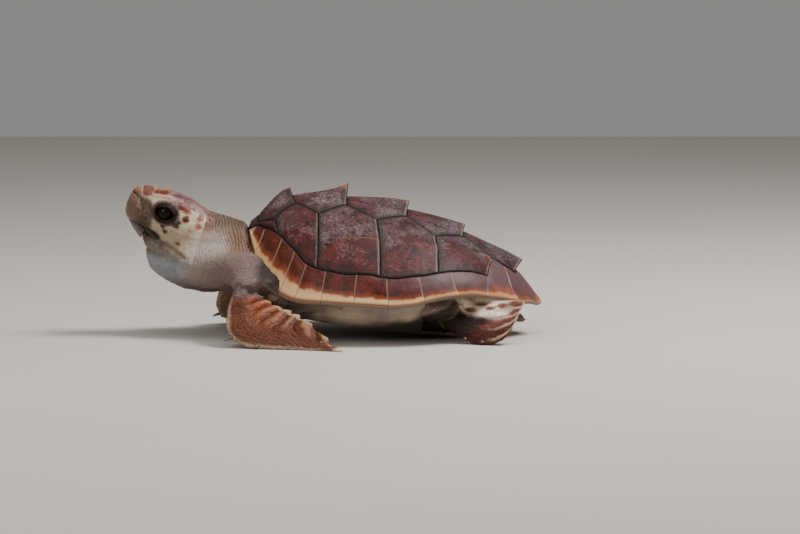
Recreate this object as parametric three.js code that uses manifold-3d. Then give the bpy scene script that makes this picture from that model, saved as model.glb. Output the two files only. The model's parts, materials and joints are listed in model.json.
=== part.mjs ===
// Young loggerhead turtle, Caretta caretta, life size and still. It crawls: the front is
// raised on the front flippers, while the rear of the plastron and the hind feet rest on
// the floor. Millimetres, +Z up. It faces -X, and its left side is -Y.
// The shell is built in its own frame: x runs back from the front edge of the nuchal
// plate, z is the height over the plane of the plastron. The rest is built in the body's
// frame, where z is the height over the floor.
import * as THREE from 'three';
import { mergeVertices } from 'three/addons/utils/BufferGeometryUtils.js';
import Module from 'manifold-3d';

const wasm = await Module();
wasm.setup();

// ---- Driving dimensions ------------------------------------------------------------

const SHELL_LENGTH = 258; // carapace, from the nuchal plate to the tip over the tail
const SHELL_PITCH = THREE.MathUtils.degToRad(7.6); // nose up
const SHELL_PLACE = new THREE.Vector3(-9.65, 0, 24.2); // the shell frame's origin
const PLATE_THICKNESS = 3.2; // of every plate of the shell
const SEAM = 0.5; // the gap between two neighbouring plates
const CUT = 0.38; // the gap between two neighbouring pieces of flesh, claw or beak
const DOME_POWER = 1.6; // of the superellipse across the carapace: 2 is an ellipse
const FLESH_POWER = 2.2; // of the superellipse across the head and neck
const LIP_WIDTH = 14; // how far the marginal plates fold in under the rim
const HEAD_PITCH = THREE.MathUtils.degToRad(25); // nose up
const SNOUT = new THREE.Vector3(-106, 0, 112); // the foremost point of the beak
const EYE_RADIUS = 8.2;
const EYE_PLACE = { back: 34, out: 17.3, up: 9 }; // in the head's frame
const LID_RADII = { back: 12.5, out: 9.4, up: 10.4 }; // the swelling that holds an eye
const LID_OPENING = { back: 7.2, up: 5.2 };
const FAR_ARM_SWING = THREE.MathUtils.degToRad(13); // the right arm reaches further forward
const FAR_ARM_INWARD = 24; // and its flipper stands this much nearer to the body
const SHOULDER = new THREE.Vector3(14, 0, 0); // the axis that the arm swings about
const CLAW_RADIUS = 1.8;
const CLAW_ROOT = 2.5; // how deep a claw is set in the flesh
const FAR_AWAY = 900; // half of a side of a cutting block, larger than the turtle

// ---- Shapes ------------------------------------------------------------------------

// A smooth function through [place, value] pairs that doesn't overshoot them, and is
// level beyond its ends.
function profile(pairs) {
  const slopes = pairs.map((pair, i) => {
    if (i === 0 || i === pairs.length - 1) {
      return 0;
    }
    const before = (pair[1] - pairs[i - 1][1]) / (pair[0] - pairs[i - 1][0]);
    const after = (pairs[i + 1][1] - pair[1]) / (pairs[i + 1][0] - pair[0]);
    return before * after <= 0 ? 0 : (2 * before * after) / (before + after);
  });
  const last = pairs.length - 1;
  slopes[0] = (pairs[1][1] - pairs[0][1]) / (pairs[1][0] - pairs[0][0]);
  slopes[last] = (pairs[last][1] - pairs[last - 1][1]) / (pairs[last][0] - pairs[last - 1][0]);
  return (place) => {
    const x = THREE.MathUtils.clamp(place, pairs[0][0], pairs[last][0]);
    const i = Math.min(last - 1, Math.max(0, pairs.findIndex((pair) => pair[0] > x) - 1));
    const start = x >= pairs[last][0] ? last - 1 : i;
    const width = pairs[start + 1][0] - pairs[start][0];
    const t = (x - pairs[start][0]) / width;
    const rise = pairs[start + 1][1] - pairs[start][1];
    const bend = slopes[start] * width * t * (1 - t) ** 2;
    const unbend = slopes[start + 1] * width * t * t * (1 - t);
    return pairs[start][1] + rise * t * t * (3 - 2 * t) + bend - unbend;
  };
}

// A power that keeps the sign of its base.
function signedPower(base, power) {
  return Math.sign(base) * Math.abs(base) ** power;
}

// A closed geometry of the points and triangles, turned so that its faces look outward.
function closedGeometry(points, triangles) {
  let volume = 0;
  for (let i = 0; i < triangles.length; i += 3) {
    const [a, b, c] = [points[triangles[i]], points[triangles[i + 1]], points[triangles[i + 2]]];
    volume += a.dot(new THREE.Vector3().crossVectors(b, c));
  }
  const turned = volume < 0 ? triangles.toReversed() : triangles;
  const geometry = new THREE.BufferGeometry().setFromPoints(points);
  geometry.setIndex(turned);
  return geometry;
}

// A slab between two grids of points with the same rows and columns.
function slabGeometry(upper, lower) {
  const columns = upper[0].length;
  const under = upper.length * columns;
  const last = under - columns;
  const triangles = [];
  const quad = (a, b, c, d) => triangles.push(a, b, c, a, c, d);
  for (let i = 0; i < upper.length - 1; i++) {
    for (let j = 0; j < columns - 1; j++) {
      const a = i * columns + j;
      const b = a + columns;
      quad(a, b, b + 1, a + 1);
      quad(under + a, under + a + 1, under + b + 1, under + b);
    }
    const left = i * columns;
    const right = left + columns - 1;
    quad(left + columns, left, under + left, under + left + columns);
    quad(right, right + columns, under + right + columns, under + right);
  }
  for (let j = 0; j < columns - 1; j++) {
    quad(j, j + 1, under + j + 1, under + j);
    quad(last + j + 1, last + j, under + last + j, under + last + j + 1);
  }
  return closedGeometry([...upper.flat(), ...lower.flat()], triangles);
}

// A body through rings of the same number of points, closed by a fan at each end.
function loftGeometry(rings) {
  const count = rings[0].length;
  const points = rings.flat();
  const triangles = [];
  for (let i = 0; i < rings.length - 1; i++) {
    for (let j = 0; j < count; j++) {
      const a = i * count + j;
      const b = i * count + ((j + 1) % count);
      triangles.push(a, a + count, b + count, a, b + count, b);
    }
  }
  const lastRing = (rings.length - 1) * count;
  const frontHub = points.length;
  const rearHub = frontHub + 1;
  for (const ring of [rings[0], rings.at(-1)]) {
    const hub = new THREE.Vector3();
    ring.forEach((point) => hub.addScaledVector(point, 1 / count));
    points.push(hub);
  }
  for (let j = 0; j < count; j++) {
    const next = (j + 1) % count;
    triangles.push(frontHub, j, next);
    triangles.push(rearHub, lastRing + next, lastRing + j);
  }
  return closedGeometry(points, triangles);
}

// ---- Solids that cut and join ---------------------------------------------------------

function toSolid(geometry) {
  const bare = geometry.clone();
  bare.deleteAttribute('normal');
  bare.deleteAttribute('uv');
  const merged = mergeVertices(bare, 1e-4);
  const vertProperties = new Float32Array(merged.attributes.position.array);
  const triVerts = new Uint32Array(merged.index.array);
  return new wasm.Manifold(new wasm.Mesh({ numProp: 3, vertProperties, triVerts }));
}

function toGeometry(solid) {
  const mesh = solid.getMesh();
  const geometry = new THREE.BufferGeometry();
  geometry.setAttribute('position', new THREE.BufferAttribute(mesh.vertProperties, 3));
  geometry.setIndex(new THREE.BufferAttribute(mesh.triVerts, 1));
  return geometry;
}

// All that lies ahead of a plane: the side that its normal points to.
function blockAhead(point, normal) {
  const block = new THREE.BoxGeometry(2 * FAR_AWAY, 2 * FAR_AWAY, 2 * FAR_AWAY);
  block.translate(0, 0, FAR_AWAY);
  const ahead = normal.clone().normalize();
  const turn = new THREE.Quaternion().setFromUnitVectors(new THREE.Vector3(0, 0, 1), ahead);
  block.applyQuaternion(turn);
  block.translate(point.x, point.y, point.z);
  return toSolid(block);
}

// A block as wide as the turtle, whose outline from the side is given as [x, z] pairs.
function sideBlock(outline, place = (x, z) => [x, z]) {
  const shape = new THREE.Shape(outline.map(([x, z]) => new THREE.Vector2(...place(x, z))));
  const block = new THREE.ExtrudeGeometry(shape, { depth: 2 * FAR_AWAY, bevelEnabled: false });
  block.translate(0, 0, -FAR_AWAY);
  block.rotateX(Math.PI / 2);
  return toSolid(block);
}

const UP = new THREE.Vector3(0, 0, 1);
const belowFloor = blockAhead(new THREE.Vector3(), UP.clone().negate());

// ---- The scene graph -----------------------------------------------------------------

const turtle = new THREE.Group();
const body = new THREE.Group();
const shell = new THREE.Group();
shell.rotation.y = SHELL_PITCH;
shell.position.copy(SHELL_PLACE);
turtle.add(body);
body.add(shell);
shell.updateMatrix();

function addMesh(parent, name, geometry, color, roughness = 0.6) {
  const material = new THREE.MeshStandardMaterial({ color, roughness, metalness: 0 });
  const mesh = new THREE.Mesh(geometry, material);
  mesh.name = name;
  parent.add(mesh);
  return mesh;
}

const COLOUR = {
  scute: 0x6b3a36,
  scutePale: 0x8a6258,
  margin: 0xa05a3c,
  plastron: 0xd9c9a4,
  skin: 0xc9b79c,
  throat: 0xa79a9a,
  limb: 0xb06a42,
  beak: 0x8d7350,
  claw: 0xcdb98c,
  eye: 0x15120f,
};

const SIDES = [
  ['left', -1],
  ['right', 1],
];

// ---- Carapace: a dome with a heart-shaped rim --------------------------------------------

const domeHeight = profile([
  [0, 73], [15, 88], [31, 100], [60, 105], [82, 106], [110, 105],
  [135, 101.7], [160, 96], [184, 89], [210, 77], [235, 61], [SHELL_LENGTH, 39],
]);
const rimHeight = profile([
  [0, 72.6], [5, 60], [15, 39.7], [32, 24.9], [50, 21.3], [76, 23.7], [102, 26.1],
  [128, 28.2], [149, 32.6], [161, 37.4], [184, 43.4], [196, 45], [SHELL_LENGTH, 38.4],
]);
const halfWidth = profile([
  [0, 15], [10, 40], [25, 65], [50, 88], [80, 100], [110, 106],
  [140, 105], [170, 96], [200, 78], [225, 55], [245, 28], [SHELL_LENGTH, 7],
]);

function shellSurface(x, angle) {
  const y = halfWidth(x) * signedPower(Math.sin(angle), 2 / DOME_POWER);
  const rise = signedPower(Math.cos(angle), 2 / DOME_POWER);
  return new THREE.Vector3(x, y, rimHeight(x) + (domeHeight(x) - rimHeight(x)) * rise);
}

// The angle around the dome of the point that lies y from the midline.
function shellAngle(x, y) {
  const share = Math.min(1, Math.abs(y) / halfWidth(x));
  return Math.sign(y) * Math.asin(share ** (DOME_POWER / 2));
}

// A point at a lift over the dome, square to it; a negative lift is inside the dome.
function shellPoint(x, angle, lift) {
  const step = 0.5;
  const turn = 0.01;
  const back = shellSurface(x + step, angle).sub(shellSurface(x - step, angle));
  const around = shellSurface(x, angle + turn).sub(shellSurface(x, angle - turn));
  const normal = back.cross(around).normalize();
  return shellSurface(x, angle).addScaledVector(normal, lift);
}

// A plate of the carapace. place(u, v) gives its x and y for u from front to rear and v
// from side to side, relief(u, v) its lift; its edges stand back by half a seam.
function carapacePlate(place, relief, rows, columns) {
  const length = Math.hypot(place(1, 0.5).x - place(0, 0.5).x, place(1, 0.5).y - place(0, 0.5).y);
  const breadth = Math.hypot(place(0.5, 1).x - place(0.5, 0).x, place(0.5, 1).y - place(0.5, 0).y);
  const layer = (lift) => {
    const grid = [];
    for (let i = 0; i <= rows; i++) {
      const row = [];
      for (let j = 0; j <= columns; j++) {
        const u = THREE.MathUtils.lerp(SEAM / 2 / length, 1 - SEAM / 2 / length, i / rows);
        const v = THREE.MathUtils.lerp(SEAM / 2 / breadth, 1 - SEAM / 2 / breadth, j / columns);
        const { x, y } = place(u, v);
        row.push(shellPoint(x, shellAngle(x, y), lift(u, v, x, y)));
      }
      grid.push(row);
    }
    return grid;
  };
  return slabGeometry(layer(relief), layer(() => -PLATE_THICKNESS));
}

// A point along a line of [x, y] corners, which are spread evenly over 0 to 1.
function alongLine(corners, share) {
  const spans = corners.length - 1;
  const i = Math.min(spans - 1, Math.floor(share * spans));
  const t = share * spans - i;
  const x = THREE.MathUtils.lerp(corners[i][0], corners[i + 1][0], t);
  const y = THREE.MathUtils.lerp(corners[i][1], corners[i + 1][1], t);
  return { x, y };
}

// Vertebral plates, along the midline. Seams cross the midline at crossAt; their ends lie
// at [x, y] in crossEnds, and each plate is widest at its own corner in between.
const crossAt = [7.4, 33, 80.5, 133, 182.5, 231.5];
const crossEnds = [[7.4, 16], [38, 20], [81, 24], [133, 24], [183.5, 20], [231, 15]];
const wideCorners = [[21.6, 30], [58, 39], [108, 43.5], [159, 44], [209, 29.6]];
const keelHeights = [6.4, 11.2, 7, 5.6, 10];
const keelPowers = [1.2, 3, 1.5, 1.5, 2]; // how late each keel rises to its spine
const KEEL_HALF_BASE = 15;
const SWELL = 1.2; // how far the middle of a plate stands over its edges

function vertebralPlace(n) {
  const edge = [crossEnds[n], wideCorners[n], crossEnds[n + 1]];
  return (u, v) => {
    const across = 2 * v - 1;
    const side = alongLine(edge, u);
    const middle = THREE.MathUtils.lerp(crossAt[n], crossAt[n + 1], u);
    return { x: THREE.MathUtils.lerp(middle, side.x, across * across), y: side.y * across };
  };
}

for (let n = 0; n < wideCorners.length; n++) {
  const relief = (u, v, x, y) => {
    const ridge = Math.max(0, 1 - Math.abs(y) / KEEL_HALF_BASE) ** 1.4;
    const swell = SWELL * (1 - (2 * u - 1) ** 2) * (1 - (2 * v - 1) ** 2);
    return keelHeights[n] * u ** keelPowers[n] * ridge + swell;
  };
  addMesh(shell, `vertebral_${n + 1}`, carapacePlate(vertebralPlace(n), relief, 4, 6), COLOUR.scutePale);
}

// The seam between the costal and the marginal plates, as its distance from the midline.
const costalSeam = profile([
  [7.5, 20], [25.7, 45], [43, 67], [54.4, 79], [71.3, 88], [97.5, 95],
  [122.7, 96.5], [149.5, 92], [175, 80.5], [207, 60],
]);

// Costal plates, between the vertebral plates and that seam, with a low keel that rises to
// a point at the rear. The inner edge of each has a peak where two vertebral plates meet.
const costalInner = [
  [crossEnds[0], wideCorners[0]],
  [wideCorners[0], crossEnds[1], wideCorners[1]],
  [wideCorners[1], crossEnds[2], wideCorners[2]],
  [wideCorners[2], crossEnds[3], wideCorners[3]],
  [wideCorners[3], crossEnds[4], wideCorners[4]],
];
const costalOuter = [7.5, 25.7, 63.4, 117, 165, 207];
const costalKeelShare = [0.5, 0.52, 0.5, 0.48, 0.42]; // of the plate's breadth
const costalKeelHeight = [0.6, 2.2, 2.6, 2.8, 4];

for (const [side, sign] of SIDES) {
  costalInner.forEach((inner, n) => {
    const place = (u, v) => {
      const from = alongLine(inner, u);
      const outerX = THREE.MathUtils.lerp(costalOuter[n], costalOuter[n + 1], u);
      const x = THREE.MathUtils.lerp(from.x, outerX, v);
      const y = THREE.MathUtils.lerp(from.y, costalSeam(outerX), v);
      return { x, y: sign * y };
    };
    const relief = (u, v) => {
      const ridge = Math.max(0, 1 - Math.abs(v - costalKeelShare[n]) / 0.3) ** 1.3;
      const swell = SWELL * (1 - (2 * u - 1) ** 2) * (1 - (2 * v - 1) ** 2);
      return costalKeelHeight[n] * u * u * ridge + swell;
    };
    addMesh(shell, `costal_${side}_${n + 1}`, carapacePlate(place, relief, 4, 5), COLOUR.scute);
  });
}

// The nuchal plate, over the neck.
const NUCHAL_FRONT = { x: 0.8, y: 17 };
const NUCHAL_REAR = { x: crossAt[0], y: costalSeam(crossAt[0]) };
const nuchalPlace = (u, v) => {
  const halfSpan = THREE.MathUtils.lerp(NUCHAL_FRONT.y, NUCHAL_REAR.y, u);
  return { x: THREE.MathUtils.lerp(NUCHAL_FRONT.x, NUCHAL_REAR.x, u), y: (2 * v - 1) * halfSpan };
};
addMesh(shell, 'nuchal', carapacePlate(nuchalPlace, () => 0, 2, 6), COLOUR.scute);

// ---- Marginal plates and the two over the tail ------------------------------------------

// Each row: x and y on the upper seam, and x on the rim. The rows are the seams between
// neighbouring marginals, with a few more where the upper seam turns round a costal plate.
// Over the tail a fourth value gives y on the rim, up to the midline.
const TAIL_SEAM = [221, 22.5, 235.4];
const marginRows = [
  [7.5, 20, 1.6], [10.5, 24, 5], [25.7, 45, 15], [43, 67, 34], [54.4, 79, 47.7],
  [71.3, 88, 70.3], [97.5, 95, 97.8], [122.7, 96.5, 127], [149.5, 92, 156.6],
  [175, 80.5, 184], [207, 60, 209], [209, 30.3, 218], TAIL_SEAM,
];
const tailRows = [
  TAIL_SEAM, [226, 19, 243, 31], [231.9, 15.3, 250, 20], [232.4, 7, 256, 9.5], [232.6, 0, 258, 0],
];
const RIM_TOOTH = 2.2; // how far the rear end of each rear marginal stands out of the rim
const TOOTH_START = 0.3; // of the plate's length, from its front seam
const TOOTHED_FROM = 140; // the rim is smooth ahead of this, and fully toothed from
const TOOTHED_FULLY = 200;
const LIP_SHARE = 0.45; // the lip never folds in further than this share of the half width
const RIM_DEPTH = 3.4; // of the rim's edge

// How far the rim stands out at a share of the way between two seams.
function rimTooth(share, xRim) {
  const toothed = THREE.MathUtils.smoothstep(xRim, TOOTHED_FROM, TOOTHED_FULLY);
  return RIM_TOOTH * toothed * Math.max(0, share - TOOTH_START);
}

// The outline of a marginal at one row: down the outside of the dome to the rim, in along
// the underside of the lip, and up the inside. grow makes it larger all round.
function marginRing([xTop, yTop, xRim, yRim = halfWidth(xRim)], tooth, sign, grow) {
  const ring = [];
  const top = shellAngle(xTop, yTop) + (SEAM - grow) / 2 / halfWidth(xTop);
  const edge = shellAngle(xRim, yRim);
  const steps = 4;
  for (let k = 0; k <= steps; k++) {
    const share = k / steps;
    const x = THREE.MathUtils.lerp(xTop, xRim, share);
    const angle = THREE.MathUtils.lerp(top, edge, share);
    ring.push(shellPoint(x, angle, grow + (k === steps ? tooth : 0)));
  }
  const rim = shellSurface(xRim, edge);
  const inward = Math.min(LIP_WIDTH, rim.y * LIP_SHARE);
  const xInner = THREE.MathUtils.lerp(xRim, xTop, 0.4);
  const inner = Math.min(halfWidth(xInner), 1.4 * yRim) - inward - grow;
  ring.push(new THREE.Vector3(xRim, rim.y - 1.2 + grow, rim.z - RIM_DEPTH - grow));
  ring.push(new THREE.Vector3(xInner, inner, rimHeight(xInner) - RIM_DEPTH + 1 - grow));
  ring.push(shellPoint(xTop, top, -PLATE_THICKNESS - grow));
  return ring.map((point) => {
    const out = Math.max(SEAM / 2, point.y);
    return new THREE.Vector3(point.x, sign * out, point.z);
  });
}

function marginGeometry(sign, grow = 0) {
  const rings = [];
  marginRows.slice(0, -1).forEach((row, n) => {
    const next = marginRows[n + 1];
    const steps = n === 0 ? 1 : n > 6 && n < 10 ? 3 : 2;
    for (let k = 0; k < steps; k++) {
      const share = k / steps;
      const between = row.map((value, i) => THREE.MathUtils.lerp(value, next[i], share));
      if (between[0] < costalOuter.at(-1)) {
        between[1] = costalSeam(between[0]);
      }
      rings.push(marginRing(between, rimTooth(share, between[2]), sign, grow));
    }
  });
  const end = TAIL_SEAM.map((value, i) => value - (i === 1 ? 0 : 3 * SEAM));
  rings.push(marginRing(end, RIM_TOOTH * 0.7, sign, grow));
  return loftGeometry(rings);
}

// The supracaudal plates close the rim over the tail, from the last marginal to the midline.
function supracaudalGeometry(sign) {
  const rings = [];
  tailRows.slice(0, -1).forEach((row, n) => {
    const [xTop, yTop, xRim, yRim = halfWidth(xRim)] = row;
    const between = [xTop, yTop, xRim, yRim].map((value, i) => (value + tailRows[n + 1][i]) / 2);
    rings.push(marginRing(row, 0, sign, 0), marginRing(between, 0, sign, 0));
  });
  rings.push(marginRing(tailRows.at(-1), 0, sign, 0));
  return loftGeometry(rings);
}

for (const [side, sign] of SIDES) {
  addMesh(shell, `marginals_${side}`, marginGeometry(sign), COLOUR.margin);
  addMesh(shell, `supracaudal_${side}`, supracaudalGeometry(sign), COLOUR.margin);
}

// ---- Plastron: the flat underside, with the bridges that join it to the rim ----------------

const plastronHalf = profile([
  [22, 14], [30, 27], [40, 40], [55, 56], [75, 66], [100, 69],
  [130, 66], [155, 56], [178, 44], [200, 32], [218, 20], [229, 9],
]);
const plastronHeight = profile([
  [12, 16], [22, 10], [40, 3.5], [60, 0], [184, 0], [195, 1], [205, 3], [215, 6.5], [229, 12],
  [240, 17],
]);
const PLASTRON_CURL = 2.5; // how far its side edges turn up

function plastronPoint(x, y, lift) {
  const share = Math.abs(y) / plastronHalf(x);
  return new THREE.Vector3(x, y, plastronHeight(x) + PLASTRON_CURL * share ** 4 + lift);
}

const floorInShell = belowFloor.transform(shell.matrix.clone().invert().elements);
const plastronSeams = [22, 37, 70, 104, 140, 177, 229];
const plastronNames = ['gular', 'humeral', 'pectoral', 'abdominal', 'femoral', 'anal'];

function plastronPlate(n, sign, grow = 0) {
  const layer = (lift) => {
    const grid = [];
    for (let i = 0; i <= 4; i++) {
      const front = plastronSeams[n] + SEAM / 2 - grow;
      const x = THREE.MathUtils.lerp(front, plastronSeams[n + 1] - SEAM / 2 + grow, i / 4);
      const row = [];
      for (let j = 0; j <= 3; j++) {
        const y = THREE.MathUtils.lerp(SEAM / 2, plastronHalf(x) + grow, (j / 3) ** 0.8);
        row.push(plastronPoint(x, sign * y, lift));
      }
      grid.push(row);
    }
    return grid;
  };
  return slabGeometry(layer(PLATE_THICKNESS + grow), layer(-grow));
}

const BRIDGE_FRONT = 54;
const BRIDGE_REAR = 158;
const BRIDGE_BULGE = 3;

function bridgeGeometry(sign, grow = 0) {
  const rings = [];
  for (let k = 0; k <= 8; k++) {
    const x = THREE.MathUtils.lerp(BRIDGE_FRONT - grow, BRIDGE_REAR + grow, k / 8);
    const foot = plastronPoint(x, plastronHalf(x), 0);
    const inner = { y: foot.y + 1.4 * SEAM - grow, z: foot.z };
    const outer = { y: halfWidth(x) - LIP_WIDTH - 2 * SEAM + grow, z: rimHeight(x) - RIM_DEPTH };
    const slope = Math.atan2(outer.z - inner.z, outer.y - inner.y);
    const point = (share, lift) => {
      const y = THREE.MathUtils.lerp(inner.y, outer.y, share) - Math.sin(slope) * lift;
      const z = THREE.MathUtils.lerp(inner.z, outer.z, share) + Math.cos(slope) * lift;
      return new THREE.Vector3(x, sign * y, z);
    };
    const middle = -BRIDGE_BULGE - grow;
    rings.push([
      new THREE.Vector3(x, sign * inner.y, inner.z - grow),
      point(0.5, middle),
      new THREE.Vector3(x, sign * outer.y, outer.z - grow),
      new THREE.Vector3(x, sign * (outer.y - 1), outer.z + PLATE_THICKNESS + grow),
      point(0.5, middle + PLATE_THICKNESS + 2 * grow),
      new THREE.Vector3(x, sign * inner.y, inner.z + PLATE_THICKNESS + grow),
    ]);
  }
  return loftGeometry(rings);
}

for (const [side, sign] of SIDES) {
  plastronNames.forEach((name, n) => {
    const plate = toSolid(plastronPlate(n, sign)).subtract(floorInShell);
    addMesh(shell, `${name}_${side}`, toGeometry(plate), COLOUR.plastron);
  });
  addMesh(shell, `bridge_${side}`, bridgeGeometry(sign), COLOUR.plastron);
}

// ---- Trunk: what fills the shell and shows at its openings ------------------------------------

const TRUNK_FRONT = 11;
const TRUNK_REAR = 234;
const TRUNK_GAP = 1.1; // between the trunk and the plates
const trunkTaper = profile([[TRUNK_FRONT, 0.72], [45, 1], [190, 1], [TRUNK_REAR, 0.6]]);
const trunkReach = profile([[207, 60], [TRUNK_REAR, 12]]); // its half width behind the costal plates

function trunkRing(x, grow) {
  const half = [];
  const arcSteps = 5;
  const reach = x < costalOuter.at(-1) ? costalSeam(x) : trunkReach(x);
  const lastAngle = shellAngle(x, reach - 3);
  const taper = trunkTaper(x);
  for (let k = 0; k <= arcSteps; k++) {
    half.push(shellPoint(x, (lastAngle * k) / arcSteps, -PLATE_THICKNESS - TRUNK_GAP + grow));
  }
  const flank = Math.min(half.at(-1).y, halfWidth(x) - LIP_WIDTH - 4);
  const foot = Math.max(6, plastronHalf(x) - 5);
  const bottom = plastronHeight(x) + PLATE_THICKNESS + TRUNK_GAP - grow;
  half.push(new THREE.Vector3(x, Math.max(flank, 10) + grow, rimHeight(x) + 2));
  half.push(new THREE.Vector3(x, foot + grow, bottom + PLASTRON_CURL));
  half.push(new THREE.Vector3(x, foot * 0.6, bottom));
  half.push(new THREE.Vector3(x, 0, bottom));
  half.forEach((point) => {
    point.y *= taper;
  });
  const mirrored = half.slice(1, -1).reverse();
  return [...half, ...mirrored.map((point) => new THREE.Vector3(point.x, -point.y, point.z))];
}

function trunkGeometry(grow = 0) {
  const rings = [];
  for (let k = 0; k <= 10; k++) {
    const x = THREE.MathUtils.lerp(TRUNK_FRONT - grow, TRUNK_REAR + grow, k / 10);
    rings.push(trunkRing(x, grow));
  }
  return loftGeometry(rings);
}

let trunk = toSolid(trunkGeometry());
for (const [, sign] of SIDES) {
  trunk = trunk.subtract(toSolid(marginGeometry(sign, CUT)));
}
addMesh(shell, 'trunk', toGeometry(trunk), COLOUR.skin);

// All that flesh outside the shell keeps clear of, in the body's frame.
let shellClearance = toSolid(trunkGeometry(2 * CUT));
for (const [, sign] of SIDES) {
  shellClearance = shellClearance.add(toSolid(marginGeometry(sign, CUT)));
  shellClearance = shellClearance.add(toSolid(bridgeGeometry(sign, CUT)));
  for (let n = 0; n < plastronNames.length; n++) {
    shellClearance = shellClearance.add(toSolid(plastronPlate(n, sign, CUT)));
  }
}
const nuchalCover = (u, v) => nuchalPlace(u * 1.1 - 0.08, v * 1.04 - 0.02);
const nuchalSolid = toSolid(carapacePlate(nuchalCover, () => CUT, 2, 6));
const nuchalUnder = nuchalSolid.transform(new THREE.Matrix4().makeTranslation(0, 0, -1).elements);
shellClearance = shellClearance.add(nuchalSolid).add(nuchalUnder);
shellClearance = shellClearance.transform(shell.matrix.elements);

// ---- Head and neck ---------------------------------------------------------------------------

// From the head's frame to the body's: back from the snout, out to the side, and up.
function headPoint(back, out, up) {
  const x = back * Math.cos(HEAD_PITCH) + up * Math.sin(HEAD_PITCH);
  const z = up * Math.cos(HEAD_PITCH) - back * Math.sin(HEAD_PITCH);
  return new THREE.Vector3(SNOUT.x + x, out, SNOUT.z + z);
}

// Points round a section that is highest at top, lowest at bottom and widest at middle.
function fleshOutline(top, bottom, halfSpan, middle, count = 16) {
  const outline = [];
  for (let k = 0; k < count; k++) {
    const angle = (2 * Math.PI * k) / count;
    const rise = signedPower(Math.cos(angle), 2 / FLESH_POWER);
    const out = halfSpan * signedPower(Math.sin(angle), 2 / FLESH_POWER);
    outline.push([out, middle + (rise > 0 ? (top - middle) * rise : (middle - bottom) * rise)]);
  }
  return outline;
}

const headTop = profile([
  [0.3, 14], [2, 17.8], [5, 20.3], [11, 23.2], [22, 26.3], [37, 28.8], [50, 28.6], [62, 26.6],
  [74, 24],
]);
const headBottom = profile([
  [0.3, 1], [2, -5.2], [5, -9], [8.5, -11.5], [16.5, -17.5], [25.5, -21.6], [48, -22.5], [74, -17],
]);
const headHalf = profile([
  [0.3, 3.4], [2, 6.6], [5, 9.6], [8.5, 12.6], [16.5, 17.6], [25.5, 21.9], [40, 26.3], [54, 28],
  [74, 24],
]);
const headMiddle = profile([[0, 8], [8.5, 4], [25, 0], [74, -1]]);
const headStations = [0.3, 2, 5, 9, 15, 22, 30, 40, 50, 60, 74];

const neckTop = profile([
  [-91, 83], [-83, 92], [-69, 100], [-52, 106], [-40, 107.5], [-34.5, 106.4],
  [-17, 101.6], [-4, 97], [-1, 91.5], [4, 82], [18, 76],
]);
const neckBottom = profile([
  [-91, 80], [-88, 68], [-83, 58.5], [-76, 52], [-69, 47.7], [-52, 40.4], [-30, 38], [-8, 38],
  [18, 42],
]);
const neckHalf = profile([
  [-91, 3], [-88, 11], [-83, 17], [-69, 25], [-52, 28.5], [-34, 30], [-17, 32], [-4, 35], [4, 35],
  [18, 34],
]);
const neckMiddle = profile([[-91, 81.5], [-83, 74], [-69, 70], [-34, 68], [18, 62]]);
const neckStations = [-91, -88, -83, -76, -67, -55, -40, -22, -4, 0.5, 5, 18];

const headRings = headStations.map((back) => {
  const outline = fleshOutline(headTop(back), headBottom(back), headHalf(back), headMiddle(back));
  return outline.map(([out, up]) => headPoint(back, out, up));
});
const neckRings = neckStations.map((x) => {
  const outline = fleshOutline(neckTop(x), neckBottom(x), neckHalf(x), neckMiddle(x));
  return outline.map(([out, up]) => new THREE.Vector3(x, out, up));
});

function eyeSphere(radii, sign, widthSegments = 12, heightSegments = 8) {
  const ball = new THREE.SphereGeometry(1, widthSegments, heightSegments);
  ball.scale(radii.back, radii.out, radii.up);
  ball.rotateY(HEAD_PITCH);
  const place = headPoint(EYE_PLACE.back, sign * EYE_PLACE.out, EYE_PLACE.up);
  ball.translate(place.x, place.y, place.z);
  return ball;
}

function lidOpening(sign) {
  const tube = new THREE.CylinderGeometry(1, 1, 30, 14);
  tube.translate(0, sign * 15, 0);
  tube.scale(LID_OPENING.back, 1, LID_OPENING.up);
  tube.rotateY(HEAD_PITCH);
  const place = headPoint(EYE_PLACE.back, sign * EYE_PLACE.out, EYE_PLACE.up);
  tube.translate(place.x, place.y, place.z);
  return tube;
}

let headAndNeck = toSolid(loftGeometry(headRings)).add(toSolid(loftGeometry(neckRings)));
for (const [, sign] of SIDES) {
  headAndNeck = headAndNeck.add(toSolid(eyeSphere(LID_RADII, sign)));
}

// The horny sheaths of the jaws, whose outlines from the side are [back, up] in the head's
// frame. The upper one ends in a hook that stands over the lower one.
const intoBody = (back, up) => {
  const place = headPoint(back, 0, up);
  return [place.x, place.z];
};
const beakOutline = (cut) => [
  [-4, -40], [23 + cut, -40], [24 + cut, -11], [18.5 + cut, -9.8 + cut],
  [16 + cut, 2], [9 + cut, 10.5 + cut], [-4, 13 + cut],
];
const upperBeakOutline = [
  [-4, -9.5], [6, -10], [9, -9.2], [18.5, -9.8], [16, 2], [9, 10.5], [-4, 13],
];
const lowerBeakOutline = [
  [-4, -40], [23, -40], [24, -11.3], [18.5, -9.8 - CUT], [9, -9.2 - CUT], [6, -10 - CUT],
  [-4, -9.5 - CUT],
];
const beakUpper = headAndNeck.intersect(sideBlock(upperBeakOutline, intoBody));
const beakLower = headAndNeck.intersect(sideBlock(lowerBeakOutline, intoBody));

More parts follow.
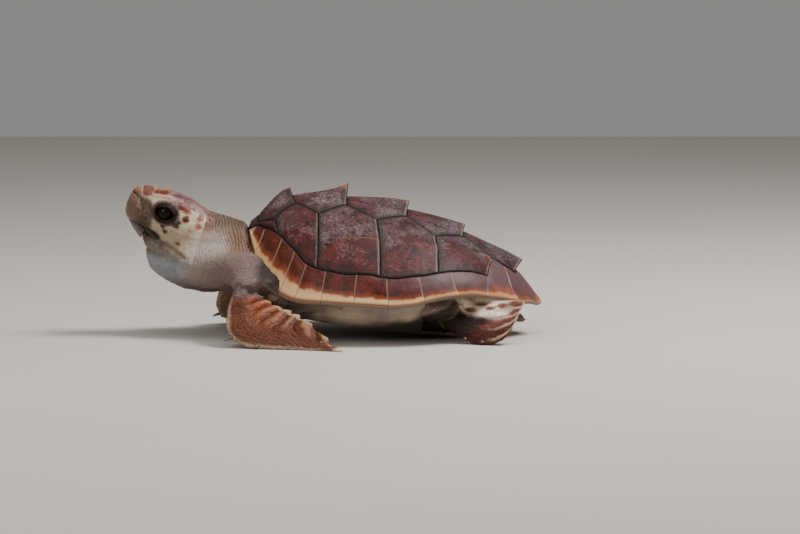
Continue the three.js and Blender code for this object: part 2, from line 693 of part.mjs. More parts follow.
// The cut between head and neck follows the back of the skull and the lower jaw.
const headOutline = (cut) => [
  [-200, 76 - cut], [-94, 78.5 - cut], [-46 + cut, 65 - cut], [-28 + cut, 130], [-28 + cut, 200],
  [-200, 200],
];
let head = headAndNeck.intersect(sideBlock(headOutline(0)));
head = head.subtract(sideBlock(beakOutline(CUT), intoBody));
let neck = headAndNeck.subtract(sideBlock(headOutline(CUT))).subtract(shellClearance);
neck = neck.subtract(sideBlock(beakOutline(CUT), intoBody));
const socket = EYE_RADIUS + CUT;
for (const [side, sign] of SIDES) {
  head = head.subtract(toSolid(eyeSphere({ back: socket, out: socket, up: socket }, sign)));
  head = head.subtract(toSolid(lidOpening(sign)));
  const eyeball = eyeSphere({ back: EYE_RADIUS, out: EYE_RADIUS, up: EYE_RADIUS }, sign);
  addMesh(body, `eye_${side}`, eyeball, COLOUR.eye, 0.1);
}
addMesh(body, 'head', toGeometry(head), COLOUR.skin);
addMesh(body, 'neck', toGeometry(neck), COLOUR.throat);
addMesh(body, 'beak_upper', toGeometry(beakUpper), COLOUR.beak);
addMesh(body, 'beak_lower', toGeometry(beakLower), COLOUR.beak);

// ---- Limbs and tail -----------------------------------------------------------------------------

// A round limb along a path. Each row is x, y, z and the half width and half height there.
function limbGeometry(rows, count = 10) {
  const centres = rows.map(([x, y, z]) => new THREE.Vector3(x, y, z));
  const rings = rows.map(([, , , wide, tall], i) => {
    const ahead = centres[Math.min(i + 1, rows.length - 1)].clone();
    const along = ahead.sub(centres[Math.max(i - 1, 0)]).normalize();
    const across = new THREE.Vector3().crossVectors(along, UP).normalize();
    const upright = new THREE.Vector3().crossVectors(across, along);
    const ring = [];
    for (let k = 0; k < count; k++) {
      const angle = (2 * Math.PI * k) / count;
      const point = centres[i].clone().addScaledVector(across, wide * Math.cos(angle));
      ring.push(point.addScaledVector(upright, tall * Math.sin(angle)));
    }
    return ring;
  });
  return loftGeometry(rings);
}

// The half thickness of a flipper from its round leading edge (0) to its thin trailing one.
const bladeHalf = profile([[0, 0.28], [0.08, 0.72], [0.28, 1], [0.6, 0.62], [0.85, 0.28], [1, 0.12]]);
const bladeShares = [0, 0.1, 0.35, 0.75, 1];
const TRAILING_HALF = 0.5; // never thinner than twice this

// A flipper or foot. Each row is a point on the leading edge, one on the trailing edge, and
// the greatest half thickness between them.
function bladeGeometry(rows) {
  const middles = rows.map(([lead, trail]) => lead.clone().lerp(trail, 0.5));
  const rings = rows.map(([lead, trail, thick], i) => {
    const ahead = middles[Math.min(i + 1, rows.length - 1)].clone();
    const along = ahead.sub(middles[Math.max(i - 1, 0)]).normalize();
    const chord = trail.clone().sub(lead);
    const upright = new THREE.Vector3().crossVectors(along, chord).normalize();
    const face = (share, sign) => {
      const half = Math.max(TRAILING_HALF, thick * bladeHalf(share));
      return lead.clone().addScaledVector(chord, share).addScaledVector(upright, sign * half);
    };
    const over = bladeShares.map((share) => face(share, 1));
    const under = bladeShares.map((share) => face(share, -1)).reverse();
    return [...over, ...under];
  });
  return loftGeometry(rings);
}

// More rows between the given ones, on a smooth curve through them.
function smoothRows(rows, count) {
  const leads = new THREE.CatmullRomCurve3(rows.map((row) => row[0]));
  const trails = new THREE.CatmullRomCurve3(rows.map((row) => row[1]));
  const thickness = profile(rows.map((row, i) => [i / (rows.length - 1), row[2]]));
  const smooth = [];
  for (let k = 0; k <= count; k++) {
    smooth.push([leads.getPoint(k / count), trails.getPoint(k / count), thickness(k / count)]);
  }
  return smooth;
}

const at = (x, y, z) => new THREE.Vector3(x, y, z);

// All rows are for the left side, where y is negative; the right side mirrors them.
const ARM = [
  [34, -30, 46, 15, 16], [14, -44, 50, 16, 17], [1, -58, 51, 15.5, 15.5], [-2, -71, 48, 13, 13.5],
  [0, -83, 42, 9.5, 10],
];
const FLIPPER = [
  [at(-9, -74, 48), at(9, -71, 45), 9],
  [at(-12, -86, 41), at(13, -78, 39), 8.5],
  [at(-15, -98, 28), at(20, -81, 35), 7.2],
  [at(-15, -107, 14), at(28, -86, 30), 6],
  [at(-5, -115, 3), at(36, -92, 27), 5],
  [at(14, -120, 1.2), at(45, -99, 23.5), 4],
  [at(40, -126, 0.5), at(58, -109, 17), 2.9],
  [at(66, -134, 0.3), at(72, -127, 6), 1.8],
  [at(81, -140, 0.5), at(83, -138.5, 1.1), 1],
];
const THIGH = [
  [140, -34, 24, 16, 13], [156, -50, 24, 16, 14], [168, -61, 24, 14, 14], [180, -69, 21, 10, 12],
];
const FOOT = [
  [at(163, -64, 14), at(168, -50, 32), 9],
  [at(177, -77, 7.5), at(183, -58, 33.5), 7],
  [at(191, -86, 0.7), at(199, -63, 34), 5.5],
  [at(205, -92, 0.4), at(214, -67, 35.5), 4],
  [at(216, -94.5, 5.5), at(227, -71, 36.5), 2.4],
  [at(224, -90, 15), at(235, -76, 35.5), 1.2],
];
const TAIL = [
  [208, 0, 24, 14, 11], [218, 0, 20, 11, 9], [226, 0, 16.5, 7.5, 6.5], [233, 0, 13.5, 4.5, 4],
  [238, 0, 11.5, 1.5, 1.5],
];
const ELBOW = { point: at(-1, -80, 44.5), ahead: at(0.05, -0.86, -0.5) };
const KNEE = { point: at(173, -66, 22), ahead: at(0.8, -0.55, -0.1) };

// Claws: where each stands on the leading edge, where it points, and its length.
const FRONT_CLAWS = [
  [at(-12.5, -111.5, 8.2), at(-0.85, -0.5, -0.35), 8],
  [at(11, -119.5, 2.9), at(-0.3, -1, -0.05), 6],
];
const HIND_CLAWS = [
  [at(184, -82, 5.2), at(0.1, -0.95, -0.15), 7],
  [at(198, -89.5, 2.8), at(0.35, -0.9, 0), 6],
];

function clawGeometry([base, direction, length], grow = 0) {
  const height = length + 4 * grow;
  const cone = new THREE.ConeGeometry(CLAW_RADIUS + grow, height, 8);
  cone.translate(0, height / 2 - CLAW_ROOT - grow, 0);
  const turn = new THREE.Quaternion();
  turn.setFromUnitVectors(new THREE.Vector3(0, 1, 0), direction.clone().normalize());
  cone.applyQuaternion(turn);
  cone.translate(base.x, base.y, base.z);
  return cone;
}

// Takes what is made for the left side to its own side, and swings the right arm forward.
function sideMatrix(sign, swing) {
  const matrix = new THREE.Matrix4().makeTranslation(SHOULDER.x, 0, 0);
  matrix.multiply(new THREE.Matrix4().makeRotationZ(swing));
  matrix.multiply(new THREE.Matrix4().makeTranslation(-SHOULDER.x, 0, 0));
  return matrix.multiply(new THREE.Matrix4().makeScale(1, -sign, 1));
}

// Moves a point of the left arm inward: by nothing at the shoulder, in full at the elbow.
function drawnIn(point, inward) {
  const share = THREE.MathUtils.mapLinear(point.y, ARM[0][1], ELBOW.point.y, 0, 1);
  return at(point.x, point.y + inward * THREE.MathUtils.clamp(share, 0, 1), point.z);
}

function addLimb(names, rows, blade, joint, claws, sign, swing, clearance) {
  const matrix = sideMatrix(sign, swing).elements;
  const root = toSolid(limbGeometry(rows));
  let whole = root.add(toSolid(bladeGeometry(blade))).subtract(belowFloor);
  const behindJoint = blockAhead(joint.point, joint.ahead.clone().negate());
  const cutPoint = joint.point.clone().addScaledVector(joint.ahead.clone().normalize(), CUT);
  const aheadOfJoint = blockAhead(cutPoint, joint.ahead);
  for (const claw of claws) {
    whole = whole.subtract(toSolid(clawGeometry(claw, CUT)));
  }
  const upper = whole.intersect(behindJoint).transform(matrix).subtract(clearance);
  const lower = whole.intersect(aheadOfJoint).transform(matrix).subtract(shellClearance);
  const side = sign < 0 ? 'left' : 'right';
  addMesh(body, `${names[0]}_${side}`, toGeometry(upper), COLOUR.throat);
  addMesh(body, `${names[1]}_${side}`, toGeometry(lower), COLOUR.limb);
  claws.forEach((claw, n) => {
    const solid = toSolid(clawGeometry(claw)).subtract(belowFloor).transform(matrix);
    addMesh(body, `${names[2]}_${side}_${n + 1}`, toGeometry(solid), COLOUR.claw, 0.4);
  });
}

const neckClearance = toSolid(loftGeometry(neckRings.map((ring) => ring.map((point) => {
  const grown = point.clone();
  grown.y += Math.sign(point.y) * CUT;
  grown.z += Math.sign(point.z - neckMiddle(point.x)) * CUT;
  return grown;
}))));
const armClearance = shellClearance.add(neckClearance);
for (const [, sign] of SIDES) {
  const swing = sign > 0 ? FAR_ARM_SWING : 0;
  const inward = sign > 0 ? FAR_ARM_INWARD : 0;
  const arm = ARM.map(([x, y, z, wide, tall]) => [...drawnIn(at(x, y, z), inward), wide, tall]);
  const flipper = smoothRows(FLIPPER, 9).map(([lead, trail, thick]) => {
    return [drawnIn(lead, inward), drawnIn(trail, inward), thick];
  });
  const elbow = { point: drawnIn(ELBOW.point, inward), ahead: ELBOW.ahead };
  const claws = FRONT_CLAWS.map(([base, ...rest]) => [drawnIn(base, inward), ...rest]);
  const foot = smoothRows(FOOT, 5);
  addLimb(['arm', 'flipper', 'front_claw'], arm, flipper, elbow, claws, sign, swing, armClearance);
  addLimb(['thigh', 'foot', 'hind_claw'], THIGH, foot, KNEE, HIND_CLAWS, sign, 0, shellClearance);
}
const tail = toSolid(limbGeometry(TAIL)).subtract(shellClearance);
addMesh(body, 'tail', toGeometry(tail), COLOUR.skin);

// The origin is the middle of the whole turtle's underside.
const bounds = new THREE.Box3().setFromObject(turtle, true);
const middle = bounds.getCenter(new THREE.Vector3());
body.position.set(-middle.x, -middle.y, -bounds.min.z);

export default turtle;
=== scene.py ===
import json
import math

import bpy
import numpy as np
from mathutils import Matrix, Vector
from mathutils.bvhtree import BVHTree
from mathutils.kdtree import KDTree

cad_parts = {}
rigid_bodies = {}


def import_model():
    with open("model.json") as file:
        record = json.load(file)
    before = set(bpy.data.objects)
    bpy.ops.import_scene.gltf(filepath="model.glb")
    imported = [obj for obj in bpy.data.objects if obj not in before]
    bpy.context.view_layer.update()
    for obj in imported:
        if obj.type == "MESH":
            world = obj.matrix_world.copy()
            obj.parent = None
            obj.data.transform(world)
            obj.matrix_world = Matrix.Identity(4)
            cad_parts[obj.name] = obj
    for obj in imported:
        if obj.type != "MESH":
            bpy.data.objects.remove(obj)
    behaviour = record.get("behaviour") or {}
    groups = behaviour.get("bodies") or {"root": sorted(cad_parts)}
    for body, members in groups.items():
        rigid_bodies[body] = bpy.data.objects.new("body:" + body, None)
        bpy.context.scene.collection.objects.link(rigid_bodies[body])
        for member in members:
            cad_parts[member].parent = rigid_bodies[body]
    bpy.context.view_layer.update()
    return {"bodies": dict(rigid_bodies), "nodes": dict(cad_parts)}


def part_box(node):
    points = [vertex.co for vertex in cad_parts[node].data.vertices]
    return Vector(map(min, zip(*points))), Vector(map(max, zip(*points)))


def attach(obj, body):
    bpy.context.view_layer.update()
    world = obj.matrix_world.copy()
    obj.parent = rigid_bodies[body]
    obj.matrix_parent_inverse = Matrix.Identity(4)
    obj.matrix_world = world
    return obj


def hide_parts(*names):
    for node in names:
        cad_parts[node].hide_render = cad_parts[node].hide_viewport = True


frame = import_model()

# ---- Carapace ------------------------------------------------------------------------------
# The domed upper shell of a young loggerhead turtle: five keeled vertebral plates along the
# middle, five costal plates each side, and the nuchal plate over the neck. Each is a horny
# sheet over bone, grown in rings from its areola, and worn dusty where it faces up.

MM = 0.001
ROOT = next(iter(frame["bodies"]))
HEAD_PITCH = math.radians(25)
EYE_BACK, EYE_OUT, EYE_UP = 34.0, 17.3, 9.0  # mm, the eyes' centres in the head's frame
SNOUT_TO_SHELL = 96.35  # mm, level, from the snout to the front of the shell's frame
SHELL_PITCH = math.radians(7.6)
SHELL_HEIGHT = 24.2  # mm, of the shell frame's origin over the floor
SHELL_LENGTH = 258.0
PLATE_THICKNESS = 3.2
DOME_POWER = 1.6
SEAM = 0.34  # mm, between two neighbouring plates

eye_centres = {side: sum(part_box(f"eye_{side}"), Vector()) / 2 / MM for side in ("left", "right")}
MIDLINE = (eye_centres["left"].y + eye_centres["right"].y) / 2
COS_HEAD, SIN_HEAD = math.cos(HEAD_PITCH), math.sin(HEAD_PITCH)
SNOUT = np.array([
    eye_centres["left"].x - EYE_BACK * COS_HEAD - EYE_UP * SIN_HEAD,
    MIDLINE,
    eye_centres["left"].z + EYE_BACK * SIN_HEAD - EYE_UP * COS_HEAD,
])
SHELL_ORIGIN = np.array([SNOUT[0] + SNOUT_TO_SHELL, MIDLINE, SHELL_HEIGHT])
COS_SHELL, SIN_SHELL = math.cos(SHELL_PITCH), math.sin(SHELL_PITCH)
SIDES = (("left", -1), ("right", 1))


def profile(pairs):
    """A smooth function through (place, value) pairs that doesn't overshoot them."""
    places, values = np.array(pairs, float).T
    rise = np.diff(values) / np.diff(places)
    slopes = np.concatenate([rise[:1], np.zeros(len(rise) - 1), rise[-1:]])
    product = rise[:-1] * rise[1:]
    same_way = product > 0
    total = np.where(same_way, rise[:-1] + rise[1:], 1)
    slopes[1:-1] = np.where(same_way, 2 * product / total, 0)

    def value_at(place):
        x = np.clip(place, places[0], places[-1])
        i = np.clip(np.searchsorted(places, x, side="right") - 1, 0, len(places) - 2)
        width = places[i + 1] - places[i]
        t = (x - places[i]) / width
        rounded = values[i] + (values[i + 1] - values[i]) * t * t * (3 - 2 * t)
        bend = slopes[i] * width * t * (1 - t) ** 2 - slopes[i + 1] * width * t * t * (1 - t)
        return rounded + bend

    return value_at


def smooth_step(value, low, high):
    """0 at low and 1 at high, with a smooth rise between."""
    t = np.clip((value - low) / (high - low), 0, 1)
    return t * t * (3 - 2 * t)


def lumps(points, cell, seed=0):
    """Smooth noise from -1 to 1 with lumps about a cell across, at an array of points."""
    scaled = np.asarray(points, float) / cell
    base = np.floor(scaled).astype(np.int64)
    t = scaled - base
    t = t * t * (3 - 2 * t)
    total = np.zeros(len(scaled))
    for corner in np.ndindex(2, 2, 2):
        x, y, z = (base + corner).T
        mixed = (x * 73856093) ^ (y * 19349663) ^ (z * 83492791) ^ (seed * 2654435761)
        mixed = ((mixed ^ (mixed >> 13)) * 1274126177) & 0xFFFFFFFF
        mixed = (mixed ^ (mixed >> 15)) & 0xFFFF
        weight = np.prod(np.where(np.array(corner) == 1, t, 1 - t), axis=1)
        total += weight * (mixed / 32767.5 - 1)
    return total


dome_height = profile([
    (0, 73), (15, 88), (31, 100), (60, 105), (82, 106), (110, 105),
    (135, 101.7), (160, 96), (184, 89), (210, 77), (235, 61), (SHELL_LENGTH, 39),
])
rim_height = profile([
    (0, 72.6), (5, 60), (15, 39.7), (32, 24.9), (50, 21.3), (76, 23.7), (102, 26.1),
    (128, 28.2), (149, 32.6), (161, 37.4), (184, 43.4), (196, 45), (SHELL_LENGTH, 38.4),
])
half_width = profile([
    (0, 15), (10, 40), (25, 65), (50, 88), (80, 100), (110, 106),
    (140, 105), (170, 96), (200, 78), (225, 55), (245, 28), (SHELL_LENGTH, 7),
])


def shell_surface(x, angle):
    """The smooth dome in the shell's frame, at x behind its front and an angle off the middle."""
    y = half_width(x) * np.sign(angle) * np.abs(np.sin(angle)) ** (2 / DOME_POWER)
    rise = np.sign(np.cos(angle)) * np.abs(np.cos(angle)) ** (2 / DOME_POWER)
    return np.stack([x, y, rim_height(x) + (dome_height(x) - rim_height(x)) * rise], axis=-1)


def shell_angle(x, y):
    """The dome's angle off its middle at x and y of the shell's frame."""
    share = np.minimum(1, np.abs(y) / half_width(x))
    return np.sign(y) * np.arcsin(share ** (DOME_POWER / 2))


def shell_point(x, angle, lift):
    """A point at a lift over the dome, square to it."""
    step, turn = 0.5, 0.01
    back = shell_surface(x + step, angle) - shell_surface(x - step, angle)
    around = shell_surface(x, angle + turn) - shell_surface(x, angle - turn)
    normal = np.cross(back, around)
    normal /= np.linalg.norm(normal, axis=-1, keepdims=True)
    return shell_surface(x, angle) + normal * np.asarray(lift)[..., None]


def from_shell(points):
    """Turns points of the shell's frame to the part's frame."""
    x, y, z = np.moveaxis(points, -1, 0)
    turned = [x * COS_SHELL + z * SIN_SHELL, y, z * COS_SHELL - x * SIN_SHELL]
    return np.stack(turned, axis=-1) + SHELL_ORIGIN


def set_attribute(mesh, key, values):
    """Stores numbers, or rows of a linear colour, on a mesh's points."""
    values = np.asarray(values, np.float32)
    if values.ndim == 2:
        opaque = np.concatenate([values, np.ones((len(values), 1), np.float32)], axis=1)
        mesh.attributes.new(key, "FLOAT_COLOR", "POINT").data.foreach_set("color", opaque.ravel())
    else:
        mesh.attributes.new(key, "FLOAT", "POINT").data.foreach_set("value", values)


def make_object(name, points, faces, attributes=None, sharp=None):
    """A mesh object from points in mm, faces and values for its points."""
    mesh = bpy.data.meshes.new(name)
    mesh.from_pydata(np.asarray(points, float).reshape(-1, 3) * MM, [], faces)
    mesh.polygons.foreach_set("use_smooth", np.ones(len(mesh.polygons), bool))
    for key, values in (attributes or {}).items():
        set_attribute(mesh, key, values)
    mesh.update()
    if sharp is not None:
        mesh.set_sharp_from_angle(angle=math.radians(sharp))
    made = bpy.data.objects.new(name, mesh)
    bpy.context.scene.collection.objects.link(made)
    return made


def grid_faces(rows, columns):
    """The quads of a grid of rows by columns points."""
    a = (np.arange(rows - 1)[:, None] * columns + np.arange(columns - 1)).ravel()
    return np.stack([a, a + 1, a + columns + 1, a + columns], axis=1)


def slab(name, upper, lower, attributes):
    """A closed plate: a fine upper grid of points, walls, and a fan under it to one point."""
    rows, columns = upper.shape[:2]
    index = np.arange(rows * columns).reshape(rows, columns)
    rim = np.concatenate([index[0, :-1], index[:-1, -1], index[-1, :0:-1], index[:0:-1, 0]])
    count = len(rim)
    points = [upper.reshape(-1, 3), lower.reshape(-1, 3)[rim]]
    points.append(points[1].mean(axis=0, keepdims=True) - (0, 0, 0.5))
    foot = rows * columns + np.arange(count)
    hub = rows * columns + count
    following = np.roll(rim, -1), np.roll(foot, -1)
    walls = np.stack([rim, following[0], following[1], foot], axis=1)
    fan = np.stack([foot, following[1], np.full(count, hub)], axis=1)
    points = np.concatenate(points)
    faces = [*grid_faces(rows, columns).tolist(), *walls[:, ::-1].tolist(), *fan[:, ::-1].tolist()]
    top, across = upper[rows // 2, columns // 2], upper[rows // 2, columns // 2 + 1]
    onward = upper[rows // 2 + 1, columns // 2]
    if np.cross(across - top, onward - top)[2] < 0:
        faces = [face[::-1] for face in faces]
    for key, values in attributes.items():
        flat = values.ravel()
        attributes[key] = np.concatenate([flat, flat[rim], flat[:1]])
    return make_object(name, points, faces, attributes, sharp=50)


def spread(count, low, high):
    """Places from low to high that crowd towards both ends."""
    t = np.linspace(0, 1, count)
    return low + (high - low) * (t - 0.62 * np.sin(2 * np.pi * t) / (2 * np.pi))


def along_line(corners, share):
    """x and y along a line of corners that are spread evenly over 0 to 1."""
    places = np.linspace(0, 1, len(corners))
    xs, ys = np.array(corners, float).T
    return np.interp(share, places, xs), np.interp(share, places, ys)


RING_SPACING = 1.7  # mm, between two growth rings, drawn coarser than the real 0.5 mm
EDGE_ROUND = 1.3  # mm, the breadth of a plate's rounded edge
EDGE_DROP = 0.9  # mm, how far a plate falls at that edge
SEAM_STAIN, BORDER_STAIN = 2.6, 7.5  # mm, how far dirt and damp reach in from a seam


def horn_plate(name, place, relief, areola, worn, tip, size, line=lambda u, v: 0):
    """One plate with growth rings round its areola, rounded edges and a pitted surface; line is
    where new growth shows pale besides its rear edge."""
    rows, columns = size
    ends = [np.hypot(*np.subtract(place(1, v), place(0, v))) for v in (0.25, 0.5, 0.75)]
    length = float(np.mean(ends))
    u_all = np.array([0.0, 0.25, 0.5, 0.75, 1.0])
    widths = [float(np.hypot(*np.subtract(place(u, 1), place(u, 0)))) for u in u_all]
    gap_u = SEAM / 2 / length
    gap_v = SEAM / 2 / np.mean(widths)
    u, v = np.meshgrid(spread(rows, gap_u, 1 - gap_u), spread(columns, gap_v, 1 - gap_v),
                       indexing="ij")
    x, y = place(u, v)
    breadth = np.interp(u, u_all, widths)
    edge = np.minimum(np.minimum(u, 1 - u) * length, np.minimum(v, 1 - v) * breadth)
    angle = shell_angle(x, y)
    base = shell_point(x, angle, 0 * x).reshape(-1, 3)
    ahead = np.where(u < areola[0], (areola[0] - u) / areola[0], (u - areola[0]) / (1 - areola[0]))
    beside = np.where(v < areola[1], (areola[1] - v) / areola[1], (v - areola[1]) / (1 - areola[1]))
    growth = (ahead ** 5 + beside ** 5) ** 0.2
    warp = lumps(base, 9, 3).reshape(u.shape) * 0.045
    steps = max(8, length / 2 / RING_SPACING)
    phase = (growth + warp) * steps
    level = 0 * u.ravel()
    strength = 0.45 + 0.55 * lumps(np.stack([phase.ravel(), level, level], 1), 1.3, 5)
    ring = np.exp(-(((phase % 1) - 0.5) / 0.16) ** 2) * np.clip(strength.reshape(u.shape), 0.1, 1)
    ring *= smooth_step(growth, 0.16, 0.4)
    spoke = np.arctan2((v - areola[1]) * breadth, (u - areola[0]) * length)
    streak = lumps(np.stack([spoke.ravel() * 9, growth.ravel() * 1.2, level], 1), 1, 7)
    streak = streak.reshape(u.shape) * smooth_step(growth, 0.1, 0.5)
    rough = lumps(base, 5, 1).reshape(u.shape) * 0.16 + lumps(base, 1.7, 2).reshape(u.shape) * 0.07
    inward = np.clip(edge / EDGE_ROUND, 0, 1)
    rounding = EDGE_DROP * (np.sqrt(np.maximum(0, 1 - (1 - inward) ** 2)) - 1)
    lift = relief(u, v, x, y) + rough - 0.17 * ring + 0.09 * streak + rounding
    upper = from_shell(shell_point(x, angle, lift))
    lower = from_shell(shell_point(x, angle, 0 * x - PLATE_THICKNESS))
    attributes = {
        "ring": ring, "streak": streak, "seam": np.clip(1 - edge / SEAM_STAIN, 0, 1),
        "border": np.clip(1 - edge / BORDER_STAIN + 0.2 * lumps(base, 4, 9).reshape(u.shape), 0, 1),
        "worn": np.clip(worn(u, v), 0, 1), "tip": np.clip(tip(u, v), 0, 1),
        "behind": np.maximum(smooth_step(1 - u, 0.09, 0.0) + 0 * v, line(u, v)),
    }
    return slab(name, upper, lower, attributes)


CROSS_AT = (7.4, 33, 80.5, 133, 182.5, 231.5)  # mm, where seams cross the midline
CROSS_ENDS = ((7.4, 16), (38, 20), (81, 24), (133, 24), (183.5, 20), (231, 15))
WIDE_CORNERS = ((21.6, 30), (58, 39), (108, 43.5), (159, 44), (209, 29.6))
KEEL_HEIGHTS = (6.4, 11.2, 7.0, 5.6, 10.0)
KEEL_POWERS = (1.2, 3.0, 1.5, 1.5, 2.0)  # how late each keel rises to its spine
KEEL_HALF_BASE = 15.0
KEEL_CREST = 1.1  # mm, the radius of its rounded crest
SWELL = 1.2
TIP_ORANGE = (0.15, 1.0, 0.45, 0.3, 0.25)  # how far each spine's tip has worn to orange


def vertebral_place(n):
    """Where a share of the length and of the width of a plate lies, in x and y."""
    edge = (CROSS_ENDS[n], WIDE_CORNERS[n], CROSS_ENDS[n + 1])

    def place(u, v):
        across = 2 * np.asarray(v) - 1
        side_x, side_y = along_line(edge, u)
        middle = CROSS_AT[n] + (CROSS_AT[n + 1] - CROSS_AT[n]) * np.asarray(u)
        return middle + (side_x - middle) * across ** 2, side_y * across

    return place


carapace = {}
for n in range(5):
    def vertebral_relief(u, v, x, y):
        crest = np.sqrt(y * y + KEEL_CREST ** 2) - KEEL_CREST
        ridge = np.maximum(0, 1 - crest / KEEL_HALF_BASE) ** 1.5
        swell = SWELL * (1 - (2 * u - 1) ** 2) * (1 - (2 * v - 1) ** 2)
        return KEEL_HEIGHTS[n] * u ** KEEL_POWERS[n] * ridge + swell + 0.5 * u ** 6

    def vertebral_worn(u, v):
        return 0.72 + 0.3 * smooth_step(u, 0.2, 0.8) - 0.25 * smooth_step(u, 0.16, 0.02)

    def vertebral_tip(u, v):
        return TIP_ORANGE[n] * smooth_step(u, 0.8, 1) * smooth_step(np.abs(v - 0.5), 0.12, 0.02)

    name = f"vertebral_{n + 1}"
    plate = horn_plate(name + "_horn", vertebral_place(n), vertebral_relief, (0.74, 0.5),
                       vertebral_worn, vertebral_tip, (92, 96))
    carapace[name] = plate

costal_seam = profile([
    (7.5, 20), (25.7, 45), (43, 67), (54.4, 79), (71.3, 88), (97.5, 95),
    (122.7, 96.5), (149.5, 92), (175, 80.5), (207, 60),
])
COSTAL_INNER = [(CROSS_ENDS[0], WIDE_CORNERS[0])]
COSTAL_INNER += [(WIDE_CORNERS[n], CROSS_ENDS[n + 1], WIDE_CORNERS[n + 1]) for n in range(4)]
COSTAL_OUTER = (7.5, 25.7, 63.4, 117, 165, 207)
COSTAL_KEEL_SHARE = (0.5, 0.52, 0.5, 0.48, 0.42)
COSTAL_KEEL_HEIGHT = (0.6, 2.2, 2.6, 2.8, 4.0)

for side, sign in SIDES:
    for n in range(5):
        def costal_place(u, v):
            from_x, from_y = along_line(COSTAL_INNER[n], u)
            outer_x = COSTAL_OUTER[n] + (COSTAL_OUTER[n + 1] - COSTAL_OUTER[n]) * np.asarray(u)
            x = from_x + (outer_x - from_x) * v
            return x, sign * (from_y + (costal_seam(outer_x) - from_y) * v)

        def from_keel(u, v):
            return v - COSTAL_KEEL_SHARE[n] - 0.26 * (1 - u) * (n < 4)

        def costal_relief(u, v, x, y):
            off_keel = from_keel(u, v)
            ridge = np.maximum(0, 1 - np.sqrt(off_keel ** 2 + 0.0006) / 0.3) ** 1.5
            knob = 1.6 * np.exp(-((u - 0.86) / 0.12) ** 2 - (off_keel / 0.12) ** 2) * (n == 4)
            swell = SWELL * (1 - (2 * u - 1) ** 2) * (1 - (2 * v - 1) ** 2)
            return COSTAL_KEEL_HEIGHT[n] * u * u * ridge + knob + swell + 0.45 * u ** 6

        def costal_worn(u, v):
            above = smooth_step(from_keel(u, v), 0.02, -0.05)
            front = smooth_step(u, 0.2, 0.03)
            return 0.2 + 0.5 * above * (n > 0) + 0.25 * front + 0.12 * (n == 4)

        def costal_tip(u, v):
            near = np.exp(-(from_keel(u, v) / 0.1) ** 2)
            return (0.5 if n == 4 else 0.12) * smooth_step(u, 0.72, 1) * near

        def keel_line(u, v):
            line = np.exp(-((from_keel(u, v) - 0.004) / 0.009) ** 2)
            return 0.85 * line * smooth_step(u, 0.3, 0.6) * (n < 4)

        name = f"costal_{side}_{n + 1}"
        plate = horn_plate(name + "_horn", costal_place, costal_relief,
                           (0.72, COSTAL_KEEL_SHARE[n]), costal_worn, costal_tip, (84, 120),
                           keel_line)
        carapace[name] = plate


def nuchal_place(u, v):
    half_span = 17 + 3 * np.asarray(u)
    return 0.8 + (CROSS_AT[0] - 0.8) * np.asarray(u), (2 * np.asarray(v) - 1) * half_span


carapace["nuchal"] = horn_plate(
    "nuchal_horn", nuchal_place, lambda u, v, x, y: 0 * u, (0.5, 0.5),
    lambda u, v: 0.55 + 0 * u, lambda u, v: 0 * u, (28, 84),
)


def colour(text):
    """Linear red, green, blue and alpha from an sRGB hex value."""
    parts = [int(text[i:i + 2], 16) / 255 for i in (1, 3, 5)]
    linear = [c / 12.92 if c <= 0.04045 else ((c + 0.055) / 1.055) ** 2.4 for c in parts]
    return (*linear, 1.0)


def feed(tree, made, values):
    """Fills a node's inputs: a socket is linked, a hex colour is turned to linear, all else set."""
    for key, value in values.items():
        if isinstance(value, bpy.types.NodeSocket):
            tree.links.new(value, made.inputs[key])
        elif isinstance(value, str) and value.startswith("#"):
            made.inputs[key].default_value = colour(value)
        else:
            made.inputs[key].default_value = value


def node(tree, kind, values=None, stops=None, **settings):
    """Adds a node with its settings and inputs; stops are a colour ramp's places and colours."""
    made = tree.nodes.new(kind)
    for key, value in settings.items():
        setattr(made, key, value)
    feed(tree, made, values or {})
    if stops:
        elements = made.color_ramp.elements
        for element, (position, tone) in zip(elements, (stops[0], stops[-1])):
            element.position, element.color = position, colour(tone)
        for position, tone in stops[1:-1]:
            elements.new(position).color = colour(tone)
    return made


def new_material(name, **shader_values):
    """A material, its tree, its shader and the object's coordinates in metres."""
    material = bpy.data.materials.new(name)
    material.use_nodes = True
    tree = material.node_tree
    shader = tree.nodes["Principled BSDF"]
    feed(tree, shader, {key.replace("_", " "): value for key, value in shader_values.items()})
    place = node(tree, "ShaderNodeTexCoord").outputs["Object"]
    return material, tree, shader, place


